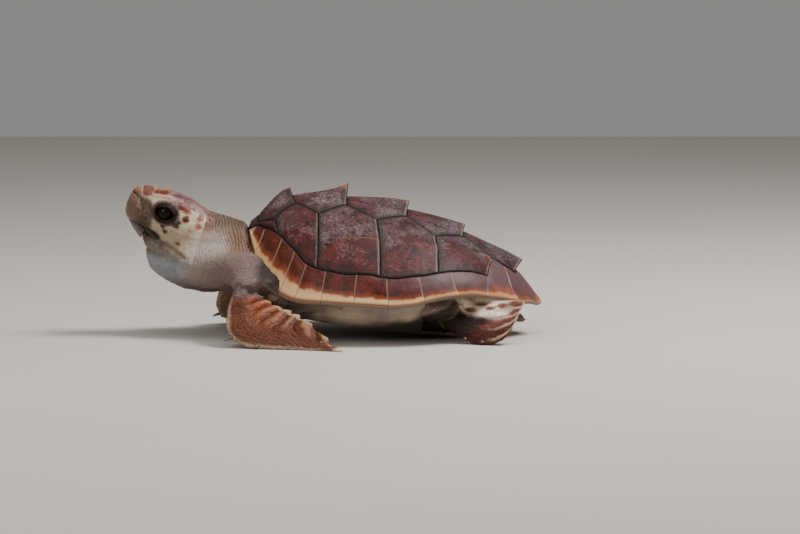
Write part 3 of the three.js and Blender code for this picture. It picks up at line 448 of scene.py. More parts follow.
def keratin_scute():
    """Keratin plate, grown in rings: maroon and faintly glossy where damp, mauve-grey and matt
    where sand has worn it and dust has dried, with pale new growth along its rear edge. The
    plates are painted darker towards the shell's rear, as shade."""
    material, tree, shader, place = new_material("keratin_scute_worn", IOR=1.5,
                                                 Specular_IOR_Level=0.14)
    masks = {
        key: node(tree, "ShaderNodeAttribute", attribute_name=key).outputs["Fac"]
        for key in ("ring", "streak", "seam", "border", "worn", "tip", "behind")
    }
    mottle, speck, broad, grit, grain = (
        node(tree, "ShaderNodeTexNoise", {"Vector": place, "Scale": 1 / (cell * MM),
                                          "Detail": detail, "Roughness": rough}).outputs["Fac"]
        for cell, detail, rough in ((14, 6.0, 0.62), (1.5, 4.0, 0.7), (24, 3.0, 0.5),
                                    (3.2, 7.0, 0.78), (0.8, 5.0, 0.5))
    )
    patchy = grit
    for value, weight in ((mottle, 0.8), (masks["worn"], 0.34), (broad, 0.5)):
        patchy = node(tree, "ShaderNodeMath", {0: value, 1: weight, 2: patchy},
                      operation="MULTIPLY_ADD").outputs[0]
    groove, worn_tip, new_growth = (
        node(tree, "ShaderNodeMath", {0: mask, 1: weight}, operation="MULTIPLY").outputs[0]
        for mask, weight in ((masks["ring"], 0.62), (masks["tip"], 0.85), (masks["behind"], grit))
    )
    # Painted shade: the plates darken towards the shell's rear, along X.
    behind = node(tree, "ShaderNodeSeparateXYZ", {"Vector": place}).outputs["X"]
    streaked, shade, cover, gritty, rear_shade, border, fringe, dark_seam, damp = (
        node(tree, "ShaderNodeMapRange", {"Value": value, "From Min": low, "From Max": high,
                                          "To Min": start, "To Max": end}).outputs[0]
        for value, low, high, start, end in (
            (masks["streak"], 0.1, 0.8, 0.0, 0.3),
            (broad, 0.35, 0.62, 0.52, 1.28),
            (patchy, 1.28, 1.5, 0.0, 0.9),
            (grit, 0.36, 0.62, 0.62, 1.3),
            (behind, 20 * MM, 130 * MM, 1.0, 0.68),
            (masks["border"], 0.1, 0.75, 0.0, 0.66),
            (new_growth, 0.2, 0.5, 0.0, 0.8),
            (masks["seam"], 0.34, 0.72, 0.0, 0.9),
            (mottle, 0.58, 0.7, 0.0, -0.28),
        )
    )
    horn = node(tree, "ShaderNodeValToRGB", {"Fac": mottle},
                stops=((0.34, "#321e1f"), (0.52, "#522827"), (0.68, "#70302b"))).outputs[0]
    horn = node(tree, "ShaderNodeMix", {0: streaked, 6: horn, 7: "#6f2b24"},
                data_type="RGBA").outputs[2]
    horn = node(tree, "ShaderNodeVectorMath", {0: horn, "Scale": gritty},
                operation="SCALE").outputs[0]
    dust = node(tree, "ShaderNodeValToRGB", {"Fac": speck},
                stops=((0.38, "#372b2d"), (0.51, "#594b4c"), (0.68, "#928280"))).outputs[0]
    dust = node(tree, "ShaderNodeVectorMath", {0: dust, "Scale": shade},
                operation="SCALE").outputs[0]
    skin = node(tree, "ShaderNodeMix", {0: cover, 6: horn, 7: dust}, data_type="RGBA").outputs[2]
    skin = node(tree, "ShaderNodeVectorMath", {0: skin, "Scale": rear_shade},
                operation="SCALE").outputs[0]
    for share, tone in ((border, "#2c2424"), (groove, "#211818"), (worn_tip, "#a8694a"),
                        (fringe, "#a5867c"), (dark_seam, "#1f1a17")):
        skin = node(tree, "ShaderNodeMix", {0: share, 6: skin, 7: tone},
                    data_type="RGBA").outputs[2]
    matt = node(tree, "ShaderNodeMapRange", {"Value": cover, "To Min": 0.46, "To Max": 0.72})
    matt = node(tree, "ShaderNodeMath", {0: matt.outputs[0], 1: damp}, operation="ADD").outputs[0]
    matt = node(tree, "ShaderNodeMath", {0: masks["tip"], 1: -0.3, 2: matt},
                operation="MULTIPLY_ADD").outputs[0]
    bump = node(tree, "ShaderNodeBump", {"Strength": 0.5, "Distance": 0.25 * MM, "Height": grain})
    feed(tree, shader, {"Base Color": skin, "Roughness": matt, "Normal": bump.outputs[0]})
    return material


scute_material = keratin_scute()
for name, plate in carapace.items():
    plate.data.materials.append(scute_material)
    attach(plate, ROOT)
    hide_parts(name)

# ---- Rim of the shell -------------------------------------------------------------------------
# Eleven marginal plates each side and two supracaudals over the tail make the shell's rim. Each
# is a folded sheet of keratin, red-brown above, cream along its lower edge and greyish
# underneath, partly as painted shade under the rim; each meets the next in a pale seam.

COSTAL_END, TAIL_SEAM, LAST_ROW = 10, 12, 16  # rows: the last beside a costal, the one where the
# last marginal meets the supracaudal, and the one on the midline
MARGIN_ROWS = (  # x and y on the upper seam, and x on the rim
    (7.5, 20, 1.6), (10.5, 24, 5), (25.7, 45, 15), (43, 67, 34), (54.4, 79, 47.7),
    (71.3, 88, 70.3), (97.5, 95, 97.8), (122.7, 96.5, 127), (149.5, 92, 156.6),
    (175, 80.5, 184), (207, 60, 209), (209, 30.3, 218), (221, 22.5, 235.4),
    (226, 19, 243), (231.9, 15.3, 250), (232.4, 7, 256), (232.6, 0, 258),
)
TAIL_RIM_Y = ((12, float(half_width(235.4))), (13, 31), (14, 20), (15, 9.5), (16, 0))
MARGIN_SEAMS = (0, 1.4, 2.3, 3, 4, 5, 6, 7, 8, 9, 10, TAIL_SEAM)
LIP_WIDTH = 14.0  # mm, how far the rim's underside reaches inward
RIM_DEPTH = 3.4  # mm, the height of its edge
RIM_TOOTH = 2.2  # mm, how far the rear end of each rear marginal stands out
row_index = np.arange(len(MARGIN_ROWS))
top_x = profile(list(zip(row_index, [row[0] for row in MARGIN_ROWS])))
top_y_behind = profile([(i, MARGIN_ROWS[i][1]) for i in range(COSTAL_END, LAST_ROW + 1)])
rim_x = profile(list(zip(row_index, [row[2] for row in MARGIN_ROWS])))
tail_rim_y = profile(TAIL_RIM_Y)


def margin_plate(name, start, end, sign, along, worn, orange, tan):
    """A rim plate between two seams, given as places among the rows."""
    length_x = float(abs(rim_x(end) - rim_x(start)))
    length_y = float(abs(half_width(rim_x(end)) - half_width(rim_x(start))))
    length = max(9.0, math.hypot(length_x, length_y))
    is_tail = start >= TAIL_SEAM
    s = spread(along, SEAM / 2 / length, 1 - SEAM / 2 / length)
    t = (start + (end - start) * s)[:, None]
    x_top, x_rim = top_x(t), rim_x(t)
    y_top = np.where(t <= COSTAL_END, costal_seam(x_top), top_y_behind(t))
    y_rim = np.where(t <= TAIL_SEAM, half_width(x_rim), tail_rim_y(t))
    top = shell_angle(x_top, y_top) + SEAM / 2 / half_width(x_top)
    rim = shell_angle(x_rim, y_rim)
    w = spread(20, 0, 1)[None, :]
    x, angle = x_top + (x_rim - x_top) * w, top + (rim - top) * w
    height = np.linalg.norm(shell_surface(x_top, top) - shell_surface(x_rim, rim), axis=-1).mean()
    edge = np.minimum(np.minimum(s, 1 - s)[:, None] * length, w * height + 0 * s[:, None])
    inward = np.clip(edge / EDGE_ROUND, 0, 1)
    rounding = 0.75 * EDGE_DROP * (np.sqrt(np.maximum(0, 1 - (1 - inward) ** 2)) - 1)
    base = shell_surface(x, angle).reshape(-1, 3)
    rough = (lumps(base, 5, 11) * 0.14 + lumps(base, 1.7, 12) * 0.07).reshape(x.shape)
    growth = np.maximum(np.abs(2 * s - 1)[:, None] + 0 * w, 1 - w)
    phase = (growth + lumps(base, 8, 13).reshape(x.shape) * 0.05) * 7
    ring = np.exp(-(((phase % 1) - 0.5) / 0.16) ** 2) * smooth_step(growth, 0.2, 0.5)
    toothed = smooth_step(x_rim, 140, 200)
    tooth = RIM_TOOTH * toothed * np.maximum(0, s - 0.3)[:, None] * smooth_step(w, 0.5, 1)
    if is_tail:
        tooth = 0 * tooth
    swell = 0.7 * np.sin(np.pi * s)[:, None] * np.sin(np.pi * np.clip(w, 0, 1)) ** 0.7
    outer = shell_point(x, angle, rounding + rough - 0.12 * ring + tooth + swell)
    edge_point = outer[:, -1]
    foot = shell_surface(x_rim, rim)[:, 0] + np.stack([0 * s, -1.2 + 0 * s, -RIM_DEPTH + 0 * s], -1)
    foot[:, 1] += 0.6 * tooth[:, -1]
    bulge = np.array([0, 0.9, 0])
    bend = [edge_point * (1 - k) + foot * k + bulge * math.sin(math.pi * k)
            for k in (0.25, 0.5, 0.75)]
    x_inner = x_rim + (x_top - x_rim) * 0.4
    fold = np.minimum(LIP_WIDTH, 0.45 * y_rim)
    y_inner = np.minimum(half_width(x_inner), 1.4 * y_rim) - fold
    inner = np.stack([x_inner, y_inner, rim_height(x_inner) - RIM_DEPTH + 1], -1)[:, 0]
    lip = [foot * (1 - k) + inner * k - (0, 0, 0.5 * math.sin(math.pi * k))
           for k in np.linspace(0, 1, 9)]
    inside = shell_point(x_top, top, 0 * x_top - PLATE_THICKNESS)[:, 0]
    back = [inner * (1 - k) + inside * k for k in (0.5, 1)]
    ring_points = np.concatenate([outer, np.stack([*bend, *lip, *back], axis=1)], axis=1)
    ring_points[..., 1] = sign * np.maximum(SEAM / 2, ring_points[..., 1])
    count = ring_points.shape[1]
    under = np.ones((len(s), count - x.shape[1]))
    full = lambda values, rest: np.concatenate([values + 0 * x, rest * under], axis=1)
    attributes = {
        "down": full(w * (0.5 if is_tail else 1 - 0.13 * tan), 1), "under": full(0, 1),
        "ring": full(ring, 0), "tan": full(tan, tan),
        "joint": full(np.clip(1 - np.minimum(s, 1 - s)[:, None] * length / 2.4, 0, 1), 0),
        "topseam": full(np.clip(1 - w * height / 2.2, 0, 1), 0),
        "worn": full(worn, 0),
        "orange": full(orange * (smooth_step(w, 0.6, 0.82) if is_tail else 1), orange),
    }
    faces = []
    for i in range(len(s) - 1):
        a = i * count + np.arange(count)
        b = i * count + (np.arange(count) + 1) % count
        faces += np.stack([a, b, b + count, a + count], axis=1).tolist()
    caps = [np.arange(count)[::-1].tolist(), ((len(s) - 1) * count + np.arange(count)).tolist()]
    flat = ring_points.reshape(-1, 3)
    if sign > 0:
        faces = [face[::-1] for face in faces]
        caps = [cap[::-1] for cap in caps]
    attributes = {key: values.ravel() for key, values in attributes.items()}
    return make_object(name, from_shell(flat), faces + caps, attributes, sharp=50)


def join(name, pieces):
    """Joins mesh objects to the first, which takes the name."""
    for other in bpy.context.selected_objects:
        other.select_set(False)
    for piece in pieces:
        piece.select_set(True)
    bpy.context.view_layer.objects.active = pieces[0]
    bpy.ops.object.join()
    pieces[0].name = pieces[0].data.name = name
    pieces[0].select_set(False)
    return pieces[0]


def keratin_margin():
    """Keratin of the rim: red-brown above, worn dusty in places, and translucent cream below,
    where it has little pigment; its underside is greyish, partly painted shade from the rim
    above it. Sun bleaches the new growth beside each seam."""
    material, tree, shader, place = new_material("keratin_margin_cream_edged", IOR=1.5,
                                                 Specular_IOR_Level=0.24)
    masks = {
        key: node(tree, "ShaderNodeAttribute", attribute_name=key).outputs["Fac"]
        for key in ("down", "under", "ring", "joint", "topseam", "worn", "orange", "tan")
    }
    mottle, speck, grain = (
        node(tree, "ShaderNodeTexNoise", {"Vector": place, "Scale": 1 / (cell * MM),
                                          "Detail": detail, "Roughness": rough}).outputs["Fac"]
        for cell, detail, rough in ((9, 6.0, 0.65), (1.4, 4.0, 0.7), (0.8, 5.0, 0.5))
    )
    patchy = mottle
    for value in (speck, masks["worn"]):
        patchy = node(tree, "ShaderNodeMath", {0: patchy, 1: value}, operation="ADD").outputs[0]
    groove, dull, rusty = (
        node(tree, "ShaderNodeMath", {0: mask, 1: weight}, operation="MULTIPLY").outputs[0]
        for mask, weight in ((masks["ring"], 0.4), (masks["tan"], 0.6), (masks["tan"], 0.62))
    )
    ragged = node(tree, "ShaderNodeMapRange", {"Value": mottle, "To Min": -0.14, "To Max": 0.14})
    level = node(tree, "ShaderNodeMath", {0: masks["down"], 1: ragged.outputs[0]},
                 operation="ADD").outputs[0]
    level = node(tree, "ShaderNodeMath", {0: masks["orange"], 1: 0.26, 2: level},
                 operation="MULTIPLY_ADD").outputs[0]
    gritty, cover, fringe, pale, dark, matt = (
        node(tree, "ShaderNodeMapRange", {"Value": value, "From Min": low, "From Max": high,
                                          "To Min": start, "To Max": end}).outputs[0]
        for value, low, high, start, end in (
            (speck, 0.36, 0.62, 0.6, 1.35),
            (patchy, 1.25, 1.9, 0.0, 0.6),
            (level, 0.52, 0.7, 0.0, 0.75),
            (masks["joint"], 0.7, 0.92, 0.0, 0.66),
            (masks["topseam"], 0.5, 0.92, 0.0, 0.85),
            (patchy, 0.9, 1.8, 0.34, 0.62),
        )
    )
    band = node(tree, "ShaderNodeMapRange", {"Value": level, "From Min": 0.68, "From Max": 0.78},
                interpolation_type="SMOOTHSTEP").outputs[0]
    red = node(tree, "ShaderNodeValToRGB", {"Fac": mottle},
               stops=((0.32, "#240e0d"), (0.7, "#6c231c"))).outputs[0]
    amber = node(tree, "ShaderNodeMix", {0: mottle, 6: "#3c150d", 7: "#6e3420"},
                 data_type="RGBA").outputs[2]
    horn = node(tree, "ShaderNodeMix", {0: masks["orange"], 6: red, 7: amber},
                data_type="RGBA").outputs[2]
    horn = node(tree, "ShaderNodeVectorMath", {0: horn, "Scale": gritty},
                operation="SCALE").outputs[0]
    below = node(tree, "ShaderNodeValToRGB", {"Fac": masks["down"]},
                 stops=((0.5, "#dfa873"), (0.86, "#f8cf9a"), (1.0, "#8f5422"))).outputs[0]
    # Painted shade, in part: the rim's underside takes a greyish brown for the shadow under the
    # rim.
    for share, tone in ((rusty, "#bd7440"), (masks["under"], "#7f6a5e")):
        below = node(tree, "ShaderNodeMix", {0: share, 6: below, 7: tone},
                     data_type="RGBA").outputs[2]
    for share, tone in ((cover, "#6a5455"), (groove, "#2d1714"), (dull, "#634e50"),
                        (fringe, "#9c5433"), (band, below), (pale, "#cfae92"), (dark, "#211c17")):
        horn = node(tree, "ShaderNodeMix", {0: share, 6: horn, 7: tone},
                    data_type="RGBA").outputs[2]
    bump = node(tree, "ShaderNodeBump", {"Strength": 0.45, "Distance": 0.22 * MM, "Height": grain})
    feed(tree, shader, {"Base Color": horn, "Roughness": matt, "Normal": bump.outputs[0]})
    return material


margin_material = keratin_margin()
for side, sign in SIDES:
    plates = []
    for n, (start, end) in enumerate(zip(MARGIN_SEAMS, MARGIN_SEAMS[1:])):
        orange = float(smooth_step(n, 6.2, 2.2)) * 0.8
        worn = 0.1 + 0.12 * (n > 6) + 0.18 * (n > 7)
        rows = 44 if n > 3 else 30
        tan = float(smooth_step(n, 6.0, 9.0))
        plates.append(margin_plate(f"marginal_{n}", start, end, sign, rows, worn, orange, tan))
    rim_piece = join(f"marginals_{side}_horn", plates)
    tail_piece = margin_plate(f"supracaudal_{side}_horn", TAIL_SEAM, LAST_ROW, sign, 50,
                              worn=0.1, orange=0.9, tan=0.9)
    for piece, replaced in ((rim_piece, f"marginals_{side}"), (tail_piece, f"supracaudal_{side}")):
        piece.data.materials.append(margin_material)
        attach(piece, ROOT)
        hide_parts(replaced)

# ---- Plastron ---------------------------------------------------------------------------------
# The flat lower shell: six pairs of cream keratin plates and the bridges that join them to the
# rim, their edges rounded by growth and their faces smudged with sand, and painted near black
# low at their sides for the shadow under the shell.

PLASTRON_VOXEL = 0.95  # mm
BODY_ORIGIN = np.array([SNOUT[0] + 106.0, MIDLINE, 0])  # on the floor, under the shell's front
# Painted shadow: the height at x below which plates and thighs are painted dark, for the shade
# under the shell.
SHADOW_LINE = ((50, 75, 100, 125, 137, 156, 179), (20, 17, 16, 19, 20, 28, 38))  # mm, its height at x


def points_of(mesh):
    """The points of a mesh in mm."""
    flat = np.empty(len(mesh.vertices) * 3, np.float32)
    mesh.vertices.foreach_get("co", flat)
    return flat.reshape(-1, 3).astype(float) / MM


def set_points(mesh, points):
    """Moves a mesh's points to places in mm."""
    mesh.vertices.foreach_set("co", (np.asarray(points) * MM).astype(np.float32).ravel())
    mesh.update()


def edges_of(mesh):
    """The two points of each edge of a mesh."""
    flat = np.empty(len(mesh.edges) * 2, np.int32)
    mesh.edges.foreach_get("vertices", flat)
    return flat.reshape(-1, 2)


def normals_of(mesh):
    """The normal at each point of a mesh."""
    flat = np.empty(len(mesh.vertices) * 3, np.float32)
    mesh.vertex_normals.foreach_get("vector", flat)
    return flat.reshape(-1, 3).astype(float)


def smoothed(values, edges, passes, back=0.53):
    """Values at mesh points, smoothed along its edges; each pass is pushed back to keep size."""
    count = len(values)
    ends = np.concatenate([edges[:, 0], edges[:, 1]])
    others = np.concatenate([edges[:, 1], edges[:, 0]])
    degree = np.maximum(1, np.bincount(ends, minlength=count))[:, None]
    columns = values if values.ndim == 2 else values[:, None]
    for _ in range(passes):
        for step in (0.5, -back):
            sums = [np.bincount(ends, columns[others, k], count) for k in range(columns.shape[1])]
            columns = columns + step * (np.stack(sums, axis=1) / degree - columns)
    return columns if values.ndim == 2 else columns[:, 0]


def apply_modifiers(made):
    """Gives an object the mesh that its modifiers make of it."""
    depsgraph = bpy.context.evaluated_depsgraph_get()
    mesh = bpy.data.meshes.new_from_object(made.evaluated_get(depsgraph))
    made.modifiers.clear()
    made.data = mesh
    return mesh


def remeshed(name, parts, voxel):
    """One evenly meshed object round all that closed parts fill; each is (points, faces)."""
    points, faces, first = [], [], 0
    for part_points, part_faces in parts:
        points.append(part_points)
        faces += [[first + i for i in face] for face in part_faces]
        first += len(part_points)
    made = make_object(name, np.concatenate(points), faces)
    modifier = made.modifiers.new("even", "REMESH")
    modifier.mode = "VOXEL"
    modifier.voxel_size = voxel * MM
    coarse = made.data
    mesh = apply_modifiers(made)
    bpy.data.meshes.remove(coarse)
    mesh.polygons.foreach_set("use_smooth", np.ones(len(mesh.polygons), bool))
    return made


def solid_of(name, grow=0.0):
    """Points in mm, pushed out by grow, and faces of a merged copy of a solid."""
    mesh = frame["nodes"][name].data
    points = points_of(mesh)
    _, index, inverse = np.unique(np.round(points, 3), axis=0, return_index=True,
                                  return_inverse=True)
    faces = [[int(inverse[i]) for i in polygon.vertices] for polygon in mesh.polygons]
    faces = [face for face in faces if len(set(face)) == 3]
    points = points[index]
    if grow:
        corners = points[np.array(faces)]
        square = np.cross(corners[:, 1] - corners[:, 0], corners[:, 2] - corners[:, 0])
        normals = np.zeros_like(points)
        for k in range(3):
            np.add.at(normals, np.array(faces)[:, k], square)
        lengths = np.maximum(1e-9, np.linalg.norm(normals, axis=1))[:, None]
        points = points + grow * normals / lengths
    return points, faces


def keratin_plastron():
    """Thin, almost unpigmented keratin: cream, flecked greyish with sand, and painted near black
    low at its sides for the shadow under the shell.
    """
    material, tree, shader, place = new_material("keratin_plastron_cream", Roughness=0.6, IOR=1.5)
    painted_shadow = node(tree, "ShaderNodeAttribute", attribute_name="painted_shadow").outputs["Fac"]
    cloud, speck = (
        node(tree, "ShaderNodeTexNoise", {"Vector": place, "Scale": 1 / (cell * MM),
                                          "Detail": detail, "Roughness": rough}).outputs["Fac"]
        for cell, detail, rough in ((26, 5.0, 0.6), (1.6, 4.0, 0.7))
    )
    sand = node(tree, "ShaderNodeMapRange", {"Value": speck, "From Min": 0.52, "From Max": 0.7,
                                             "To Max": 0.45}).outputs[0]
    skin = node(tree, "ShaderNodeValToRGB", {"Fac": cloud},
                stops=((0.35, "#877970"), (0.66, "#bdab93"))).outputs[0]
    # The near-black tone is painted shadow, low on the plates' sides under the shell.
    for share, tone in ((sand, "#7b6d60"), (painted_shadow, "#1a1410")):
        skin = node(tree, "ShaderNodeMix", {0: share, 6: skin, 7: tone},
                    data_type="RGBA").outputs[2]
    bump = node(tree, "ShaderNodeBump", {"Strength": 0.35, "Distance": 0.2 * MM, "Height": speck})
    feed(tree, shader, {"Base Color": skin, "Normal": bump.outputs[0]})
    return material


plastron_material = keratin_plastron()
PLASTRON_NAMES = ("gular", "humeral", "pectoral", "abdominal", "femoral", "anal", "bridge")
for side, _ in SIDES:
    for name in PLASTRON_NAMES:
        plate = remeshed(f"{name}_{side}_horn", [solid_of(f"{name}_{side}", 0.12)], PLASTRON_VOXEL)
        edges = edges_of(plate.data)
        points = smoothed(points_of(plate.data), edges, 6)
        points += normals_of(plate.data) * lumps(points, 6, 21)[:, None] * 0.12
        points[:, 2] = np.maximum(points[:, 2], 0)
        set_points(plate.data, points)
        x, y, z = (points - BODY_ORIGIN).T
        # Painted shadow: below a line along the sides each plate darkens, for the shade under the
        # shell.
        shadow_top = np.interp(x, *SHADOW_LINE) + 1.5 * lumps(points, 7, 22)
        painted_shadow = 0.92 * smooth_step(shadow_top - z, -3.0, 4.5) * smooth_step(np.abs(y), 28, 48)
        set_attribute(plate.data, "painted_shadow", painted_shadow)
        plate.data.materials.append(plastron_material)
        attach(plate, ROOT)
        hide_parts(f"{name}_{side}")

# ---- Skin ----------------------------------------------------------------------------------------
# One soft skin over head, neck, trunk, tail and limbs. It is thin and leathery: pleated round
# the neck, puffed at the throat, folded along the flippers, and it lies under the scales.

SKIN_VOXEL = 0.85  # mm
CLOSE_CUTS = 0.35  # mm, how far each solid is swollen to close the cuts between them
COAT_DEPTH = 0.45  # mm, how deep the skin lies under the outline, below its scales
OFF_FLOOR = 0.35  # mm, left under the limbs for their scales
SKIN_TRIANGLES = 194000
FLESH = ("head", "neck", "trunk", "tail", *(
    f"{part}_{side}" for part in ("arm", "flipper", "thigh", "foot") for side, _ in SIDES
))
LID_BACK, LID_UP = 7.2, 5.2  # mm, half of the opening between the lids
LID_SWELL = (12.5, 9.4, 10.4)  # mm, half sizes of the ball that the lids lie on
LID_EDGE = 1.15  # mm, the radius of the lids' thick edge
LID_STEPS, TUBE_STEPS = 40, 10


def full_turn(count):
    """Angles evenly round a circle."""
    return np.linspace(0, 2 * np.pi, count, endpoint=False)


def head_point(back, out, up):
    """From the head's frame to the part's: back from the snout, out to the side, and up."""
    x = back * COS_HEAD + up * SIN_HEAD
    z = up * COS_HEAD - back * SIN_HEAD
    return np.stack([x + 0 * out, out + 0 * back, z + 0 * out], axis=-1) + SNOUT


def in_head(points):
    """From the part's frame to the head's: back from the snout, out and up."""
    x, y, z = (np.asarray(points) - SNOUT).T
    return x * COS_HEAD - z * SIN_HEAD, y, x * SIN_HEAD + z * COS_HEAD


def in_body(points):
    """x behind the body's origin, y from the midline and z over the floor."""
    return (np.asarray(points) - BODY_ORIGIN).T


def in_shell(points):
    """From the part's frame to the shell's, which is tilted up at its front."""
    x, y, z = (np.asarray(points) - SHELL_ORIGIN).T
    return x * COS_SHELL - z * SIN_SHELL, y, x * SIN_SHELL + z * COS_SHELL


def lid_edge(sign):
    """The thick edge of both lids, as a closed ring round the opening."""
    around, tube = np.meshgrid(full_turn(LID_STEPS), full_turn(TUBE_STEPS), indexing="ij")
    pinch = 1 + 0.07 * np.cos(2 * around)
    back = (LID_BACK + 0.45) * np.cos(around) * pinch
    up = (LID_UP + 0.35) * np.sin(around)
    bulge = 1 - (back / LID_SWELL[0]) ** 2 - (up / LID_SWELL[2]) ** 2
    out = EYE_OUT + LID_SWELL[1] * np.sqrt(bulge) - 0.55
    thick = LID_EDGE * (1 + 0.3 * smooth_step(np.sin(around), 0, 0.8))
    wide = 1 + thick * np.cos(tube) / np.hypot(back, up)
    points = head_point(EYE_BACK + back * wide, sign * (out + thick * np.sin(tube)),
                        EYE_UP + up * wide)
    faces = []
    for i in range(LID_STEPS):
        here, there = i * TUBE_STEPS, (i + 1) % LID_STEPS * TUBE_STEPS
        for k in range(TUBE_STEPS):
            after = (k + 1) % TUBE_STEPS
            quad = [here + k, here + after, there + after, there + k]
            faces.append(quad if sign > 0 else quad[::-1])
    return points.reshape(-1, 3), faces


# The limbs' blades, for the left side and in the body's frame: a point on the leading edge and
# one on the trailing edge, from the elbow or knee out to the tip. The right one mirrors them.
FLIPPER = np.array([
    [(-9, -74, 48), (9, -71, 45)], [(-12, -86, 41), (13, -78, 39)], [(-15, -98, 28), (20, -81, 35)],
    [(-15, -107, 14), (28, -86, 30)], [(-5, -115, 3), (36, -92, 27)],
    [(14, -120, 1.2), (45, -99, 23.5)], [(40, -126, 0.5), (58, -109, 17)],
    [(66, -134, 0.3), (72, -127, 6)], [(81, -140, 0.5), (83, -138.5, 1.1)],
], float)
FOOT = np.array([
    [(163, -64, 14), (168, -50, 32)], [(177, -77, 7.5), (183, -58, 33.5)],
    [(191, -86, 0.7), (199, -63, 34)],
    [(205, -92, 0.4), (214, -67, 35.5)], [(216, -94.5, 5.5), (227, -71, 36.5)],
    [(224, -90, 15), (235, -76, 35.5)],
], float)
BLADE_ROWS, BLADE_COLUMNS = 91, 31
SHOULDER_X = 14.0  # mm, in the body's frame, where the far arm turns
FAR_ARM_SWING = math.radians(13)  # it reaches further forward
FAR_ARM_INWARD = 24.0  # mm
CHUNK = 20000  # points compared with a blade at a time, to spare memory


def blade_grid(rows, sign, is_arm):
    """Points of a blade's middle at (along, across) places from 0 to 1, and those places."""
    places = np.linspace(0, 1, len(rows))
    along = np.linspace(0, 1, BLADE_ROWS)
    edges = [
        np.stack([profile(list(zip(places, rows[:, k, axis])))(along) for axis in range(3)], -1)
        for k in range(2)
    ]
    across = np.linspace(0, 1, BLADE_COLUMNS)[None, :, None]
    points = edges[0][:, None] * (1 - across) + edges[1][:, None] * across
    if sign > 0:
        if is_arm:
            share = np.clip((-points[..., 1] - 30) / 50, 0, 1)
            points[..., 1] += FAR_ARM_INWARD * share
        points[..., 1] *= -1
        if is_arm:
            x, y = points[..., 0] - SHOULDER_X, points[..., 1].copy()
            cos, sin = math.cos(FAR_ARM_SWING), math.sin(FAR_ARM_SWING)
            points[..., 0] = SHOULDER_X + x * cos - y * sin
            points[..., 1] = x * sin + y * cos
    return points + BODY_ORIGIN, along, across.ravel()


def blade_place(points, grid):
    """How far along and across a blade each point lies, its outward edge and upright there, and
    how far off the blade's middle the point is."""
    middle, along, across = grid
    flat = middle.reshape(-1, 3)
    best = np.empty(len(points), int)
    for first in range(0, len(points), CHUNK):
        part = points[first:first + CHUNK]
        far = (flat ** 2).sum(1)[None] - 2 * part @ flat.T
        best[first:first + CHUNK] = far.argmin(axis=1)
    i, k = np.divmod(best, len(across))
    i0, k0 = np.clip(i, 0, len(along) - 2), np.clip(k, 0, len(across) - 2)
    on = middle[i0 + 1, k0] - middle[i0, k0]
    over = middle[i0, k0 + 1] - middle[i0, k0]
    gap = points - middle[i, k]
    a, b, c = (on * on).sum(1), (on * over).sum(1), (over * over).sum(1)
    p, q = (gap * on).sum(1), (gap * over).sum(1)
    span = np.maximum(1e-9, a * c - b * b)
    s = along[i] + np.clip((p * c - q * b) / span, -1, 1) * (along[1] - along[0])
    t = across[k] + np.clip((q * a - p * b) / span, -1, 1) * (across[1] - across[0])
    upright = np.cross(on, over)
    upright /= np.linalg.norm(upright, axis=1)[:, None]
    return s, t, over / np.sqrt(c)[:, None], upright, np.linalg.norm(gap, axis=1)


BLADES = {}
for side, sign in SIDES:
    BLADES[f"flipper_{side}"] = blade_grid(FLIPPER, sign, True)
    BLADES[f"foot_{side}"] = blade_grid(FOOT, sign, False)


def places_on(points):
    """For each point: weights of head, neck and each blade, and its place on that blade."""
    x, y, _ = in_body(points)
    cut = np.interp(x, [-106, -94, -46, -28], [80, 78.5, 65, 130])
    skull = smooth_step(points[:, 2] - cut, -2.5, 2.5) * smooth_step(x, -28, -34)
    in_front = smooth_step(np.abs(y), 52, 34) * smooth_step(x, 20, 10)
    where = {"head": skull * in_front, "neck": (1 - skull) * in_front}
    where["along"], where["across"] = np.zeros(len(points)), np.full(len(points), 0.5)
    where["edge"], where["upright"] = np.zeros((len(points), 3)), np.zeros((len(points), 3))
    for name, grid in BLADES.items():
        low, high = grid[0].min(axis=(0, 1)) - 12, grid[0].max(axis=(0, 1)) + 12
        near = ((points > low) & (points < high)).all(axis=1)
        weight = np.zeros(len(points))
        if near.any():
            s, t, over, upright, far = blade_place(points[near], grid)
            own = smooth_step(s, 0.01, 0.07) * smooth_step(far, 12.5, 9.0)
            root, free = (44, 56) if name.startswith("flipper") else (40, 50)
            own *= smooth_step(np.abs(y[near]), root, free)
            weight[near] = own
            for key, found in (("along", s), ("across", t), ("edge", over), ("upright", upright)):
                ours = own > 0 if found.ndim == 1 else own[:, None] > 0
                where[key][near] = np.where(ours, found, where[key][near])
        where[name] = weight
    where["flipper"] = where["flipper_left"] + where["flipper_right"]
    where["foot"] = where["foot_left"] + where["foot_right"]
    return where


def eye_distance(back, up):
    """1 on the edge of the lids' opening, growing outward."""
    return np.hypot((back - EYE_BACK) / LID_BACK, (up - EYE_UP) / LID_UP)


def line_distance(x, z, corners):
    """Distance from points to a line of corners, and the share of the way along it."""
    best, share = np.full(len(x), 1e9), np.zeros(len(x))
    for k, (start, end) in enumerate(zip(corners, corners[1:])):
        start, end = np.array(start, float), np.array(end, float)
        span = end - start
        t = np.clip(((x - start[0]) * span[0] + (z - start[1]) * span[1]) / (span @ span), 0, 1)
        far = np.hypot(x - start[0] - t * span[0], z - start[1] - t * span[1])
        nearer = far < best
        share = np.where(nearer, (k + t) / (len(corners) - 1), share)
        best = np.where(nearer, far, best)
    return best, share


MOUTH = ((22, -10.4), (30, -12.2), (38, -15.5), (45, -20))  # in the head's frame
JAW_CREASE = ((-97, 76), (-80, 73.5), (-62, 69), (-46, 66))  # in the body's frame, x and z
NOSTRIL = (3.2, 3.1, 16.6)  # mm, in the head's frame

